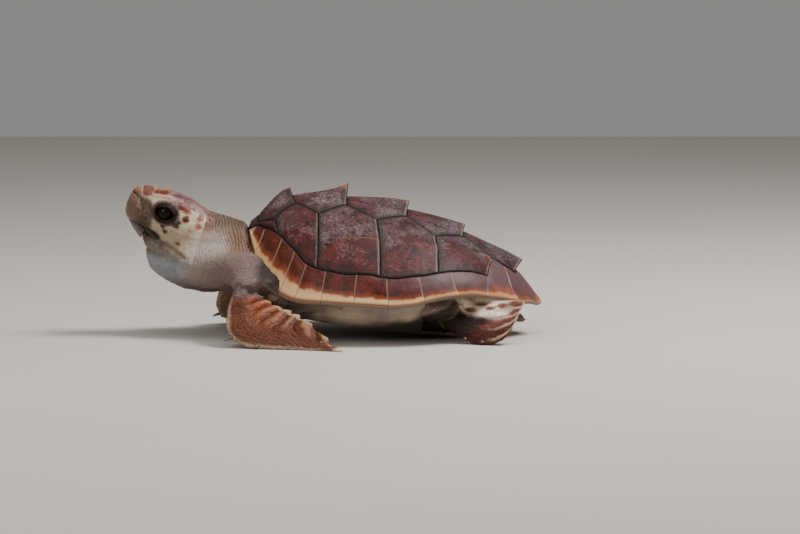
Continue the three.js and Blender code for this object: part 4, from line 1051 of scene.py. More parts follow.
beak_points, beak_faces = solid_of("beak_upper")
beak_tree = BVHTree.FromPolygons([Vector(p) for p in beak_points], beak_faces, epsilon=0.0)


def beak_distance(points, back):
    """How far the front of the head's skin lies from the upper sheath."""
    far = np.full(len(points), 99.0)
    near = np.flatnonzero(back < 38)
    far[near] = [beak_tree.find_nearest(Vector(points[i]))[3] for i in near]
    return far


def neck_folds(points):
    """Close upright wrinkles of the neck: 1 on a ridge and -1 in a groove."""
    x, _, z = in_body(points)
    wave = (x + 0.3 * (z - 80) + 1.9 * lumps(points * (1, 1, 0.35), 9, 34)) / 2.6
    return np.abs(np.sin(np.pi * wave)) ** 0.8 * 2 - 1


def skin_relief(points, where):
    """How far folds, creases, lids and nostrils lift the skin, in mm."""
    x, _, z = in_body(points)
    back, out, up = in_head(points)
    head, neck = where["head"], where["neck"]
    lift = lumps(points, 7, 31) * 0.15 + lumps(points, 2.4, 32) * 0.1
    lid = eye_distance(back, up)
    on_lid = head * smooth_step(lid, 2.0, 1.3) * smooth_step(lid, 0.95, 1.12)
    lift += on_lid * 0.3 * np.cos(2 * np.pi * (lid - 1) / 0.2 + 1.5 * lumps(points, 4, 33))
    far, share = line_distance(back, up, MOUTH)
    lift -= head * 1.1 * np.exp(-(far / 0.75) ** 2) * smooth_step(share, 1.0, 0.6)
    lift += head * 0.5 * np.exp(-((far - 2.2) / 1.3) ** 2) * smooth_step(share, 1.0, 0.6)
    far, share = line_distance(x, z, JAW_CREASE)
    lift -= 1.0 * np.exp(-(far / 1.5) ** 2) * smooth_step(share, 1.0, 0.75) * (head + neck)
    for side in (-1, 1):
        aside = (out - side * NOSTRIL[1]) ** 2 * 1.4
        hole = np.sqrt((back - NOSTRIL[0]) ** 2 + aside + (up - NOSTRIL[2]) ** 2)
        lift += 0.35 * np.exp(-((hole - 1.9) / 0.6) ** 2) - 1.9 * np.exp(-(hole / 1.15) ** 2)
    pleated = neck * smooth_step(z, 52, 74) * smooth_step(x, -64, -50) * smooth_step(x, 3, -3)
    broken = 0.62 + 0.38 * lumps(points * (1, 1, 0.6), 6, 35)
    lift += pleated * 0.5 * neck_folds(points) * broken
    slack = neck * (1 - smooth_step(z, 58, 74))
    lift += slack * (0.6 + 0.3 * lumps(points * (0.5, 1, 1.3), 4, 36)
                     + 0.2 * lumps(points * (1.5, 1, 0.6), 2.4, 37))
    lift += head * 1.2 * np.exp(-(beak_distance(points, back) / 2.0) ** 2)
    lift += neck * 2.1 * smooth_step(z, 74, 60) * smooth_step(x, -16, -34)
    s, t = where["along"], where["across"]
    lift += (where["flipper"] * 0.35 * np.cos(2 * np.pi * (2.6 * t + 0.9 * s))
             * smooth_step(t, 0.1, 0.3))
    toes = np.abs(np.sin(np.pi * (3.6 * t - 0.8 * s))) - 0.6
    lift += where["foot"] * 0.8 * toes * smooth_step(s, 0.2, 0.5)
    limb = (1 - head - neck) * (1 - where["flipper"]) * (1 - where["foot"])
    lift += limb * (0.45 * lumps(points * (0.6, 1, 1.2), 4.5, 41)
                    + 0.3 * lumps(points * (1.3, 1, 0.7), 2.4, 42))
    return lift


FOLDS = 8.5  # pleats along a flipper's trailing half


def trailing_teeth(s):
    """How far the trailing edge stands out: each pleat ends in a tooth."""
    phase = (FOLDS * s - 0.4) % 1
    bulge = 2.8 * np.exp(-((s - 0.52) / 0.17) ** 2)
    return 3.0 * (np.where(phase < 0.8, phase / 0.8, (1 - phase) / 0.2) ** 1.8 - 0.35) + bulge


def pleat_phase(where, points):
    """0 in a pleat's groove and 1 on its crest."""
    s, t = where["along"], where["across"]
    wave = FOLDS * s - 0.4 - 1.3 * (1 - t) + 0.25 * lumps(points, 14, 40)
    return np.abs(np.sin(np.pi * wave)) ** 0.8


def pleats(where, points):
    """How far a flipper's thin rear half is folded over to one side, in mm."""
    s, t = where["along"], where["across"]
    deep = 2.3 * smooth_step(t, 0.3, 0.72) * smooth_step(s, 0.03, 0.1) * smooth_step(s, 1.0, 0.75)
    return where["flipper"] * deep * (pleat_phase(where, points) - 0.6)


def tissue(centre, radii, steps=18):
    """A soft swelling that fills a hollow between two solids, in the body's frame."""
    turn, rise = np.meshgrid(full_turn(steps), np.linspace(-np.pi / 2, np.pi / 2, steps)[1:-1],
                             indexing="ij")
    ball = np.stack([np.cos(turn) * np.cos(rise), np.sin(turn) * np.cos(rise), np.sin(rise)], -1)
    points = np.array(centre, float) + ball * radii + BODY_ORIGIN
    inner = steps - 2
    faces = []
    for i in range(steps):
        here, there = i * inner, (i + 1) % steps * inner
        faces += [[here + k, there + k, there + k + 1, here + k + 1] for k in range(inner - 1)]
    faces.append([i * inner for i in range(steps)][::-1])
    faces.append([i * inner + inner - 1 for i in range(steps)])
    return points.reshape(-1, 3), faces


def trunk_skin():
    """The trunk, let out under the rim so that it meets the plates above and below it."""
    points, faces = solid_of("trunk")
    x, y, z = in_shell(points)
    low = smooth_step(z - rim_height(x), 4, -4)
    y = y + np.sign(y) * low * 4.2 * smooth_step(np.abs(y), 4, 20)
    z = z - low * 1.1
    x = x + low * (smooth_step(x, 30, 12) * -5 + smooth_step(x, 215, 233) * 3)
    x = x + (1 - low) * smooth_step(x, 30, 12) * 3
    return from_shell(np.stack([x, y, z], axis=-1)), faces


# Swellings that fill the hollows between the solids: centre and half sizes in the body's frame.
FILLS = [
    ((4, 0, 44), (26, 42, 15)), ((22, 0, 34), (20, 40, 11)), ((33, -50, 34), (24, 26, 8)),
    ((33, 50, 34), (24, 26, 8)), ((10, -34, 38), (22, 20, 12)), ((10, 34, 38), (22, 20, 12)),
    ((-34, -30, 60), (26, 13, 18)), ((-34, 30, 60), (26, 13, 18)),
    ((-16, -36, 58), (28, 17, 18)), ((-16, 35, 58), (28, 16, 18)),
    ((0, -44, 57), (28, 20, 18)), ((2, 42, 57), (28, 18, 18)),
    ((22, -58, 46), (24, 20, 17)), ((22, 55, 48), (22, 18, 16)),
    ((48, -58, 27), (18, 14, 9)), ((48, 58, 27), (18, 14, 9)),
    ((150, -50, 30), (22, 22, 15)), ((150, 50, 30), (22, 22, 15)),
    ((172, -50, 32), (24, 20, 10)), ((172, 50, 32), (24, 20, 10)), ((205, 0, 27), (18, 26, 10)),
    ((1, -79, 51), (17, 11.5, 9)), ((160, -66, 28), (23, 21, 11)), ((160, 66, 28), (23, 21, 11)),
]
FLESH_VOXEL = 2.0  # mm, coarse, since it is smoothed soft
blades = [name for name in FLESH if name.startswith(("flipper", "foot"))]
thick = [name for name in FLESH if name != "trunk" and name not in blades]
flesh = [solid_of(name, CLOSE_CUTS) for name in thick] + [trunk_skin()]
flesh = remeshed("flesh", flesh + [tissue(*fill) for fill in FILLS], FLESH_VOXEL)
edges = edges_of(flesh.data)
points = smoothed(points_of(flesh.data), edges, 16)
slack = smoothed(points, edges, 80, back=0.0)
x, y, z = in_body(points)
web = smooth_step(x, -62, -42) * smooth_step(x, 34, 22) * smooth_step(np.abs(y), 18, 30)
web = web * smooth_step(z, 88, 74)
points = points + (slack - points) * web[:, None]
faces = [list(polygon.vertices) for polygon in flesh.data.polygons]
bpy.data.objects.remove(flesh)
parts = [(points, faces)] + [solid_of(name, CLOSE_CUTS) for name in blades]
parts += [lid_edge(sign) for _, sign in SIDES]
skin = remeshed("skin", parts, SKIN_VOXEL)
edges = edges_of(skin.data)
rough_points = points_of(skin.data)
points = smoothed(rough_points, edges, 30)
back, out, up = in_head(points)
keep = smooth_step(eye_distance(back, up), 1.7, 1.2) * (points[:, 0] < SNOUT[0] + 60)
fine = smoothed(rough_points, edges, 5)
points = points + (fine - points) * keep[:, None]
set_points(skin.data, points)
points = points - normals_of(skin.data) * (CLOSE_CUTS + COAT_DEPTH)
set_points(skin.data, points)
where = places_on(points)
lift = smoothed(skin_relief(points, where), edges, 1)
points = points + normals_of(skin.data) * lift[:, None]
points = points + where["upright"] * pleats(where, points)[:, None]
outward = where["flipper"] * smooth_step(where["across"], 0.8, 1.0) * trailing_teeth(where["along"])
points = points + where["edge"] * outward[:, None]
on_floor = (where["flipper"] + where["foot"]) > 0.5
points[:, 2] = np.where(on_floor, np.maximum(points[:, 2], OFF_FLOOR), points[:, 2])
set_points(skin.data, points)

shell_x, shell_y, shell_z = in_shell(points)
covered = (shell_x > 46) & (shell_x < 150)
covered |= (shell_x > 22) & (shell_x < 222) & (shell_z > rim_height(shell_x) + 9)
covered &= np.abs(shell_y) < half_width(shell_x) - 7
covered &= shell_z > 3
inside = smoothed(covered.astype(float), edges, 8)
points = points - normals_of(skin.data) * (2.6 * smooth_step(inside, 0.5, 1.0))[:, None]
set_points(skin.data, points)
group = skin.vertex_groups.new(name="covered")
group.add(np.flatnonzero(covered).tolist(), 1.0, "REPLACE")
for only in ("covered", ""):
    before = sum(len(polygon.vertices) - 2 for polygon in skin.data.polygons)
    thin = skin.modifiers.new("thin", "DECIMATE")
    thin.ratio = min(1.0, SKIN_TRIANGLES / before)
    thin.vertex_group = only
    thin.vertex_group_factor = 1000
    mesh = apply_modifiers(skin)
skin.vertex_groups.clear()
mesh.polygons.foreach_set("use_smooth", np.ones(len(mesh.polygons), bool))


def blend(under, over, share):
    """Mixes linear colours, or hex ones: over takes share of each point."""
    under, over = (np.asarray(colour(tone)[:3]) if isinstance(tone, str) else tone
                   for tone in (under, over))
    return under + (over - under) * np.clip(share, 0, 1)[:, None]


def painted(tint, *layers):
    """Lays colours over tint in turn: each layer is a colour and its share of each point."""
    for over, share in layers:
        tint = blend(tint, over, share)
    return tint


def patch(x, z, place, size, soft=0.35):
    """1 inside an ellipse and 0 outside it, with a soft edge."""
    return smooth_step(np.hypot((x - place[0]) / size[0], (z - place[1]) / size[1]),
                       1 + soft, 1 - soft)


# Spots of the head's side, in its frame: place, half sizes and colour.
HEAD_SPOTS = (
    ((53.2, 12.2), (2.9, 2.7), "#571f16"), ((65.0, 10.9), (2.9, 2.4), "#96594a"),
    ((47.3, 3.9), (3.0, 2.0), "#3c1c18"), ((49.3, 7.2), (1.8, 1.5), "#4a2219"),
    ((37.4, -1.9), (1.7, 1.4), "#3f2119"), ((40.2, -4.6), (1.9, 1.3), "#4a2a20"),
    ((55.3, -9.8), (2.2, 1.6), "#7c4520"), ((63.4, 17.9), (2.9, 2.5), "#8d4c34"),
    ((74.0, 12.8), (2.8, 2.6), "#a06c5c"), ((71.4, 19.5), (3.0, 2.4), "#8d4c38"),
    ((43.5, 12.6), (1.6, 2.0), "#4a2219"), ((60.0, 4.0), (1.6, 1.2), "#a0745c"),
)


def skin_tint(points, where, normals):
    """The markings and painted shade, as linear colours: the skin and all that grows on it take
    them from here.
    """
    x, y, z = in_body(points)
    back, _, up = in_head(points)
    soft, fleck = lumps(points, 6, 51), lumps(points, 1.7, 52)
    tint = painted(
        "#94826f",
        ("#85705f", smooth_step(z, 42, 30)),
        ("#c9b294", smooth_step(x, 195, 210) * 0.8),
    )

    neck = where["neck"]
    fold = neck_folds(points)
    front = smooth_step(x, -44, -62)
    below_jaw = np.interp(x, *zip(*JAW_CREASE)) - z
    side = painted(
        tint,
        ("#9d735a", 1 + 0 * z),
        ("#b08e72", smooth_step(fold, 0.1, 0.8) * 0.85),
        ("#64402c", smooth_step(fold, 0.0, -0.7) * 0.8),
        ("#a87056", smooth_step(soft, 0.1, 0.7) * 0.45),
        ("#483630", smooth_step(z, 85, 97) * (0.9 - 0.22 * fold)),
        ("#a09893", patch(x, z, (-30, 78), (13, 13), 0.5) * 0.8),
        ("#988c8c", smooth_step(z + 0.35 * x, 66, 48) * (0.85 - 0.15 * fold)),
        ("#878a8e", front * smooth_step(z, 84, 74) * 0.95),
        ("#665e54", smooth_step(below_jaw + 2 * soft, 10, 1) * smooth_step(x, -44, -54) * 0.85),
        # Painted shade: the neck darkens towards its underside.
        ("#7a6a66", smooth_step(z - 0.12 * x, 62, 52) * 0.85),
        ("#5f4f4b", smooth_step(z - 0.1 * x, 52, 42) * 0.8),
        ("#6c5b58", smooth_step(x, -30, -18) * smooth_step(z, 76, 62) * 0.8),
        # Painted shade: the neck darkens where it runs in under the shell's front.
        ("#4b372b", smooth_step(x, -24, -7) * (0.78 - 0.2 * fold)),
    )
    for place, size in (((74.0, 12.4), (3.0, 2.5)), ((71.4, 19.3), (3.0, 2.4))):
        ring = np.hypot((back - place[0]) / size[0], (up - place[1]) / size[1])
        on_ring = smooth_step(np.abs(ring - 0.8 - 0.25 * soft), 0.5, 0.15)
        side = blend(side, "#9a6146", on_ring * 0.5)
    tint = blend(tint, side, neck)

    head = where["head"]
    skull = painted(
        "#c0ae90",
        ("#b3a98c", smooth_step(lumps(points, 9, 53), 0.05, 0.7) * 0.7),
        ("#d2c6b0", smooth_step(lumps(points, 7, 54), 0.15, 0.7) * 0.7),
        ("#8d7e6b", smooth_step(up, 3, -6) * smooth_step(back, 66, 46) * 0.7),
        ("#5f5449", smooth_step(up + 0.33 * back, 2.5, -2.5) * smooth_step(back, 56, 42) * 0.9),
        ("#7f7262", smooth_step(up + 0.45 * back, 9, 3) * smooth_step(back, 84, 60) * 0.55),
        ("#a39a96", smooth_step(back, 60, 72) * smooth_step(up, 8, 0) * 0.8),
        ("#8f806b", patch(back, up, (54, 0), (11, 6), 0.6) * 0.5),
    )
    for place, size, shade in HEAD_SPOTS:
        wide = (1.15 * size[0], 1.15 * size[1])
        skull = blend(skull, shade, patch(back + 0.8 * soft, up + 0.8 * fleck, place, wide, 0.25))
    jaw, _ = line_distance(back, up, ((28, -17), (46, -14.5), (56, -15.5), (68, -18.5)))
    skull = painted(
        skull,
        ("#4a392d", smooth_step(jaw, 3.6, 0.5) * 0.75),
        ("#67605b", smooth_step(up + 0.05 * back, -15.5, -19.5) * 0.85),
    )
    crown = smooth_step(
        up - np.interp(back, [0, 8, 16, 24, 34, 44, 54, 66, 76],
                       [10, 14, 16.4, 18.6, 20.4, 17.4, 19.8, 20.8, 19.4]), -0.6, 0.8)
    top = painted(
        "#7b5350",
        ("#5e3838", smooth_step(soft, 0.0, 0.6) * 0.85),
    )
    streaks = lumps(points * (0.45, 1.6, 1.2), 3.2, 57)
    top = painted(
        top,
        ("#4b2a2f", smooth_step(streaks, 0.1, 0.6) * 0.7),
        # Pale streaks: partly the crown's own paler tone, partly painted highlight on its wet
        # scales.
        ("#ab8987", smooth_step(streaks, -0.25, -0.7) * 0.5),
        ("#8b654c", smooth_step(back, 33, 28) * 0.95),
    )
    skull = blend(skull, top, crown)
    cheek_edge = np.interp(up, [-14, -8, -2, 4, 12, 16], [31, 29, 28, 28, 22, 16])
    lid_place, lid_size = (34.9, 9.2), (12.2, 10.1)
    lid_edge_at = np.hypot((back - lid_place[0]) / lid_size[0], (up - lid_place[1]) / lid_size[1])
    wedge = 4.4 - 0.3 * np.clip(20 - up, 0, 8)
    around = (np.abs((back - 12.6) / wedge) ** 3 + np.abs((up - 19) / 4.2) ** 3) ** (1 / 3)
    around = around + 0.3 * lumps(points, 3.4, 58)
    skull = painted(
        skull,
        ("#e2bba4", smooth_step(np.abs(around - 1.25), 0.26, 0.04) * 0.55),
        ("#713e32", smooth_step(around, 1.14, 0.92)),
        ("#dcb09c", smooth_step(np.abs(up - 18.6 - 0.34 * (back - 19)), 1.0, 0.3)
         * smooth_step(back, 17, 19) * smooth_step(back, 36, 32) * 0.7),
        ("#5c231c", smooth_step(np.abs(up - 21.4 - 0.34 * (back - 19)), 2.2, 1.0)
         * smooth_step(back, 17, 19) * smooth_step(back, 31, 28) * 0.95),
        ("#7a3318", patch(back + soft, up + 0.8 * fleck, (47.5, 18.4), (7.4, 2.5), 0.25)),
        ("#4a201a", patch(back + soft, up + 0.8 * fleck, (44.5, 19.2), (3.0, 1.8), 0.4) * 0.8),
        ("#402a1c", smooth_step(back - cheek_edge, 2.5, -3.5) * smooth_step(up, 17, 12) * 0.92),
        ("#1a110f", patch(back, up, (31, -12), (8.6, 3.6), 0.3) * 0.95),
        ("#281a16", patch(back + 0.7 * soft, up + 0.5 * fleck, lid_place, lid_size, 0.15)),
        ("#4e3931", smooth_step(np.abs(lid_edge_at - 0.97), 0.14, 0.02) * 0.75),
        ("#4a4036", smooth_step(line_distance(back, up, MOUTH)[0], 1.8, 0.6) * 0.8),
    )
    tint = blend(tint, skull, head)

    s, t = where["along"], where["across"]
    crest = pleat_phase(where, points)
    thin = smooth_step(t, 0.36, 0.6) * smooth_step(s, 0.05, 0.14)
    beneath = smooth_step(normals[:, 1] * np.where(y > 0, 1, -1), 0.1, -0.3)
    beneath = np.maximum(beneath, smooth_step(normals[:, 2], -0.2, -0.6))
    flipper = painted(
        "#613018",
        ("#582c19", smooth_step(soft, 0, 0.6) * 0.8),
        ("#863d14", smooth_step(t, 0.35, 0.75) * smooth_step(s, 0.45, 0.2) * 0.8),
        ("#5e3125", smooth_step(s, 0.35, 0.7) * 0.7),
        ("#402818", smooth_step(lumps(points, 4, 55), 0.35, 0.75) * 0.7),
        ("#8e4318", thin * smooth_step(s, 0.7, 0.3) * 0.6),
        ("#45210f", thin * smooth_step(crest, 0.5, 0.15) * 0.9),
        ("#b98665", thin * smooth_step(crest, 0.84, 1.0) * smooth_step(t, 0.45, 0.95) * 0.6),
        ("#a98f78", smooth_step(t, 0.1, 0.02) * 0.8),
        ("#c49e80", smooth_step(t, 0.965, 0.995) * smooth_step(s, 0.15, 0.3) * 0.9),
        # The inner and under faces are paler: partly their own colour, partly painted light that
        # lifts the far flipper's shaded face.
        ("#9c7e63", beneath * 0.85),
        ("#d6c6a8", smooth_step(s + 0.01 * fleck, 0.92, 0.965) * 0.8),
        ("#5f4f4a", smooth_step(s + 0.03 * fleck, 0.2, 0.14)),
        ("#4a3a35", smooth_step(z, 38, 42) * smooth_step(t, 0.92, 1.0)),
    )
    tint = blend(tint, flipper, where["flipper"])
    foot = painted(
        "#64352a",
        ("#43201a", smooth_step(t, 0.4, 0.2) * 0.8),
        ("#fbe8cf", smooth_step(t + 0.08 * s + 0.06 * soft, 0.56, 0.68)
         * smooth_step(s + 0.1 * soft, 0.8, 0.58)),
    )
    for place in ((0.515, 0.81), (0.40, 0.93), (0.64, 0.86), (0.30, 0.74), (0.78, 0.9)):
        foot = blend(foot, "#74362a", patch(s, t + 0.03 * fleck, place, (0.07, 0.062), 0.4) * 0.95)
    ray = np.cos(2 * np.pi * (4.5 * t - 0.6 * s))
    foot = painted(
        foot,
        ("#c9a98c", smooth_step(ray, 0.55, 0.97) * smooth_step(s, 0.5, 0.78) * 0.85),
        ("#d9b79c", smooth_step(s, 0.95, 0.985) * 0.8),
        ("#2b211d", smooth_step(s - 0.55 * t, 0.36, 0.16) * smooth_step(t, 0.72, 0.5)),
        ("#b99a80", smooth_step(t, 0.92, 0.99) * 0.7),
    )
    tint = blend(tint, foot, where["foot"])
    rest = (1 - head - neck) * (1 - where["flipper"]) * (1 - where["foot"])
    thigh = rest * smooth_step(x, 120, 140)
    # Painted shadow: wet marks the thighs' skin below the shell's shadow line, which is painted
    # near black.
    wet = smooth_step(np.interp(x, *SHADOW_LINE) + soft - z, -1.5, 3.5) * smooth_step(x, 190, 172)
    arm = rest * smooth_step(x, 60, 40)
    flank = rest * smooth_step(x, 18, 32)
    flank = flank * smooth_step(x, 150, 138) * smooth_step(np.abs(y), 44, 58)
    tint = painted(
        tint,
        ("#c6af97", thigh * smooth_step(z, 22, 32) * 0.8),
        ("#5d4c44", thigh * smooth_step(z, 26, 16) * 0.8),
        ("#897a6c", thigh * smooth_step(x, 180, 166) * (1 - wet) * 0.9),
        ("#1c1611", thigh * wet * smooth_step(np.abs(y), 24, 44) * 0.92),
        ("#65524f", arm * 0.8),
        ("#46352f", arm * smooth_step(z, 46, 36) * 0.7),
        # Painted shade: the shoulder darkens in the hollow under the shell's front rim.
        ("#2f231e", arm * smooth_step(x, 2, 14) * smooth_step(z, 76, 64) * smooth_step(z, 38, 48)
         * 0.92),
        ("#8c7a6c", flank * smooth_step(z, 50, 44) * smooth_step(z, 3, 12) * 0.95),
        ("#3a2c26", arm * smooth_step(z, 50, 44) * smooth_step(x, -24, -14) * 0.7),
    )
    return np.clip(tint * (1 + 0.05 * fleck)[:, None], 0, 1)


def skin_material():
    """Soft leathery skin, damp from the sea: satin, with wet patches that shine, and its finest
    wrinkles about 0.8 mm apart."""
    material, tree, shader, place = new_material("skin_leathery_damp", IOR=1.42)
    tint = node(tree, "ShaderNodeAttribute", attribute_name="tint").outputs["Color"]
    grain, broad = (
        node(tree, "ShaderNodeTexNoise", {"Vector": place, "Scale": 1 / (cell * MM),
                                          "Detail": detail, "Roughness": rough}).outputs["Fac"]
        for cell, detail, rough in ((0.8, 3.0, 0.6), (11, 2.0, 0.5))
    )
    shade, wet, sheen = (
        node(tree, "ShaderNodeMapRange", {"Value": value, "From Min": low, "From Max": high,
                                          "To Min": start, "To Max": end}).outputs[0]
        for value, low, high, start, end in (
            (grain, 0.3, 0.7, 0.78, 1.14),
            (broad, 0.35, 0.65, 0.66, 0.46),
            (tint, 0.01, 0.07, 0.08, 0.42),
        )
    )
    shaded = node(tree, "ShaderNodeVectorMath", {0: tint, "Scale": shade},
                  operation="SCALE").outputs[0]
    bump = node(tree, "ShaderNodeBump", {"Strength": 0.45, "Distance": 0.2 * MM, "Height": grain})
    feed(tree, shader, {"Base Color": shaded, "Roughness": wet, "Specular IOR Level": sheen,
                        "Normal": bump.outputs[0]})
    return material


x, y, z = in_shell(points_of(mesh))
under_dome = (x > 14) & (x < 244) & (np.abs(y) < half_width(x) - 6)
roof = shell_surface(x, shell_angle(x, y))[:, 2] - 5
z = np.where(under_dome, np.minimum(z, np.maximum(roof, rim_height(x))), z)
set_points(mesh, from_shell(np.stack([x, y, z], axis=-1)))
skin_points = points_of(mesh)
skin_normals = normals_of(mesh)
skin_where = places_on(skin_points)
mesh_faces = mesh.polygons
set_attribute(mesh, "tint", skin_tint(skin_points, skin_where, skin_normals))
mesh.materials.append(skin_material())
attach(skin, ROOT)
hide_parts(*FLESH)

# ---- Eyes ----------------------------------------------------------------------------------------
# A moist ball with a clear cornea that stands a little proud: nearly black pupil and a dark brown
# iris that hardly shows against it. Each sits deep in its socket, held by the lids.

EYE_RADIUS = 8.2
EYE_RINGS, EYE_SPOKES = 40, 64
CORNEA_RISE, CORNEA_BREADTH = 0.55, 3.6  # mm
EYE_SHADES_END = 10.0  # mm from the axis, where the ramp of shades ends


def eye_material():
    """Clear wet cornea over a near-black iris: smooth as glass under a film of tears."""
    material, tree, shader, place = new_material("eye_wet", IOR=1.38, Roughness=0.07,
                                                 Specular_IOR_Level=0.27)
    radius = node(tree, "ShaderNodeAttribute", attribute_name="radius").outputs["Fac"]
    fibre = node(tree, "ShaderNodeTexNoise", {"Vector": place, "Scale": 1 / (1.2 * MM),
                                              "Detail": 3.0}).outputs["Fac"]
    ragged = node(tree, "ShaderNodeMath", {0: fibre, 1: 0.9, 2: radius},
                  operation="MULTIPLY_ADD").outputs[0]
    share = node(tree, "ShaderNodeMapRange", {"Value": ragged, "From Min": 0.0,
                                              "From Max": EYE_SHADES_END}).outputs[0]
    shade = node(tree, "ShaderNodeValToRGB", {"Fac": share}, stops=(
        (0.0, "#030202"), (0.29, "#050303"), (0.34, "#1d110a"), (0.48, "#170e09"),
        (0.57, "#0a0705"), (0.75, "#15100d"), (1.0, "#201915"))).outputs[0]
    feed(tree, shader, {"Base Color": shade})
    return material


eye_finish = eye_material()
for side, sign in SIDES:
    centre = np.array(eye_centres[side])
    tilt = (np.linspace(0, 1, EYE_RINGS + 1)[1:] ** 0.9 * np.pi)[:, None]
    turn = full_turn(EYE_SPOKES)[None]
    cornea = np.exp(-((EYE_RADIUS * np.sin(tilt)) / CORNEA_BREADTH) ** 2) * (tilt < np.pi / 2)
    bulge = EYE_RADIUS + CORNEA_RISE * cornea
    ball = np.stack([bulge * np.sin(tilt) * np.cos(turn), bulge * np.cos(tilt) + 0 * turn,
                     bulge * np.sin(tilt) * np.sin(turn)], -1)
    ball[..., 1] *= sign
    shape = np.concatenate([[[0, sign * (EYE_RADIUS + CORNEA_RISE), 0]], ball[:-1].reshape(-1, 3),
                            [[0, -sign * EYE_RADIUS, 0]]])
    across = np.hypot(shape[:, 0], shape[:, 2])
    across = np.where(shape[:, 1] * sign > 0, across, 2 * EYE_RADIUS - across)
    faces = []
    last = 1 + (EYE_RINGS - 2) * EYE_SPOKES
    for k in range(EYE_SPOKES):
        after = (k + 1) % EYE_SPOKES
        faces.append([0, 1 + k, 1 + after])
        for first in range(1, last, EYE_SPOKES):
            second = first + EYE_SPOKES
            faces.append([first + k, second + k, second + after, first + after])
        faces.append([last + k, len(shape) - 1, last + after])
    eye = make_object(f"eye_ball_{side}", shape + centre, faces, {"radius": across})
    mesh = eye.data
    face = mesh.polygons[EYE_SPOKES * 3]
    if face.normal.dot(face.center - Vector(centre * MM)) < 0:
        mesh.flip_normals()
    mesh.materials.append(eye_finish)
    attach(eye, ROOT)
    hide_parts(f"eye_{side}")

# ---- Beak ----------------------------------------------------------------------------------------
# Two horn sheaths over the jaw bones, the upper one hooked over the lower. The horn is olive-tan,
# red-brown towards the cheeks, worn smooth by crushing shells, and it shines when wet.

BEAK_VOXEL = 0.45  # mm
MOUTH_EDGE = ((2.5, -4.5), (9, -6.2), (16, -8.6), (22, -10.4))  # where the sheaths meet


def beak_relief(points, upper):
    """How far growth lines, wear and the edge of the mouth lift the horn, in mm."""
    back, _, up = in_head(points)
    lift = 0.12 * lumps(points * (1, 1, 0.35), 3.0, 61) + 0.05 * lumps(points, 1.1, 62)
    lift += 0.10 * np.sin(2 * np.pi * (back * 0.9 + 0.25 * up) / 2.3) * smooth_step(back, 3, 9)
    edge, _ = line_distance(back, up, MOUTH_EDGE)
    lift -= (0.35 if upper else 0.25) * np.exp(-(edge / 0.8) ** 2)
    return lift


def beak_tint(points, upper):
    """The horn's shades, as linear colours."""
    back, out, up = in_head(points)
    soft, fleck = lumps(points, 5, 63), lumps(points, 1.5, 64)
    if upper:
        tint = painted(
            "#6a5441",
            ("#8f6b52", smooth_step(up, 2, 12) * 0.85),
            ("#552c1e", smooth_step(back, 8, 15) * smooth_step(up, 8, 0) * 0.85),
            ("#9c7560", smooth_step(up, 13, 18) * 0.8),
            ("#1d1512", smooth_step(up, -4.5, -8.5) * smooth_step(back, 12, 17) * 0.9),
            ("#57463a", smooth_step(np.abs(out), 8, 3) * smooth_step(up, 10, 2) * 0.5),
        )
    else:
        tint = painted(
            "#4c3f32",
            ("#2f2622", smooth_step(back, 17, 22) * smooth_step(up, -16, -11) * 0.85),
            ("#5c4e40", smooth_step(up, -15, -19) * 0.6),
        )
    tint = painted(
        tint,
        ("#7d654d", smooth_step(soft, 0.25, 0.7) * 0.5),
        ("#3a291f", smooth_step(fleck, 0.3, 0.8) * 0.4),
    )
    return np.clip(tint, 0, 1)


def beak_material():
    """Horn sheath, worn and wet: smooth, with fine growth streaks 0.7 mm apart that run down it."""
    material, tree, shader, place = new_material("beak_horn_wet", IOR=1.5, Coat_Weight=0.1,
                                                 Coat_Roughness=0.25)
    tint = node(tree, "ShaderNodeAttribute", attribute_name="tint").outputs["Color"]
    drawn = node(tree, "ShaderNodeMapping", {"Vector": place, "Scale": (1.0, 1.0, 0.22)}).outputs[0]
    streak = node(tree, "ShaderNodeTexNoise", {"Vector": drawn, "Scale": 1 / (0.7 * MM),
                                               "Detail": 4.0}).outputs["Fac"]
    shade = node(tree, "ShaderNodeMapRange", {"Value": streak, "From Min": 0.3, "From Max": 0.7,
                                              "To Min": 0.72, "To Max": 1.22}).outputs[0]
    shaded = node(tree, "ShaderNodeVectorMath", {0: tint, "Scale": shade},
                  operation="SCALE").outputs[0]
    rough = node(tree, "ShaderNodeMapRange", {"Value": streak, "To Min": 0.3, "To Max": 0.5})
    bump = node(tree, "ShaderNodeBump", {"Strength": 0.4, "Distance": 0.12 * MM, "Height": streak})
    feed(tree, shader, {"Base Color": shaded, "Roughness": rough.outputs[0],
                        "Normal": bump.outputs[0]})
    return material


beak_finish = beak_material()
for name in ("beak_upper", "beak_lower"):
    upper = name == "beak_upper"
    sheath = remeshed(f"{name}_sheath", [solid_of(name, 0.3)], BEAK_VOXEL)
    edges = edges_of(sheath.data)
    points = smoothed(points_of(sheath.data), edges, 30)
    set_points(sheath.data, points)
    points = points + normals_of(sheath.data) * (beak_relief(points, upper) - 0.15)[:, None]
    set_points(sheath.data, points)
    set_attribute(sheath.data, "tint", beak_tint(points, upper))
    sheath.data.materials.append(beak_finish)
    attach(sheath, ROOT)
    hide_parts(name)

# ---- Claws ---------------------------------------------------------------------------------------
# Two small claws on the leading edge of each flipper and foot: curved horn spikes, dark at the
# root and cream at the worn tip, growing straight out of the skin.

CLAW_RINGS, CLAW_SPOKES = 15, 18


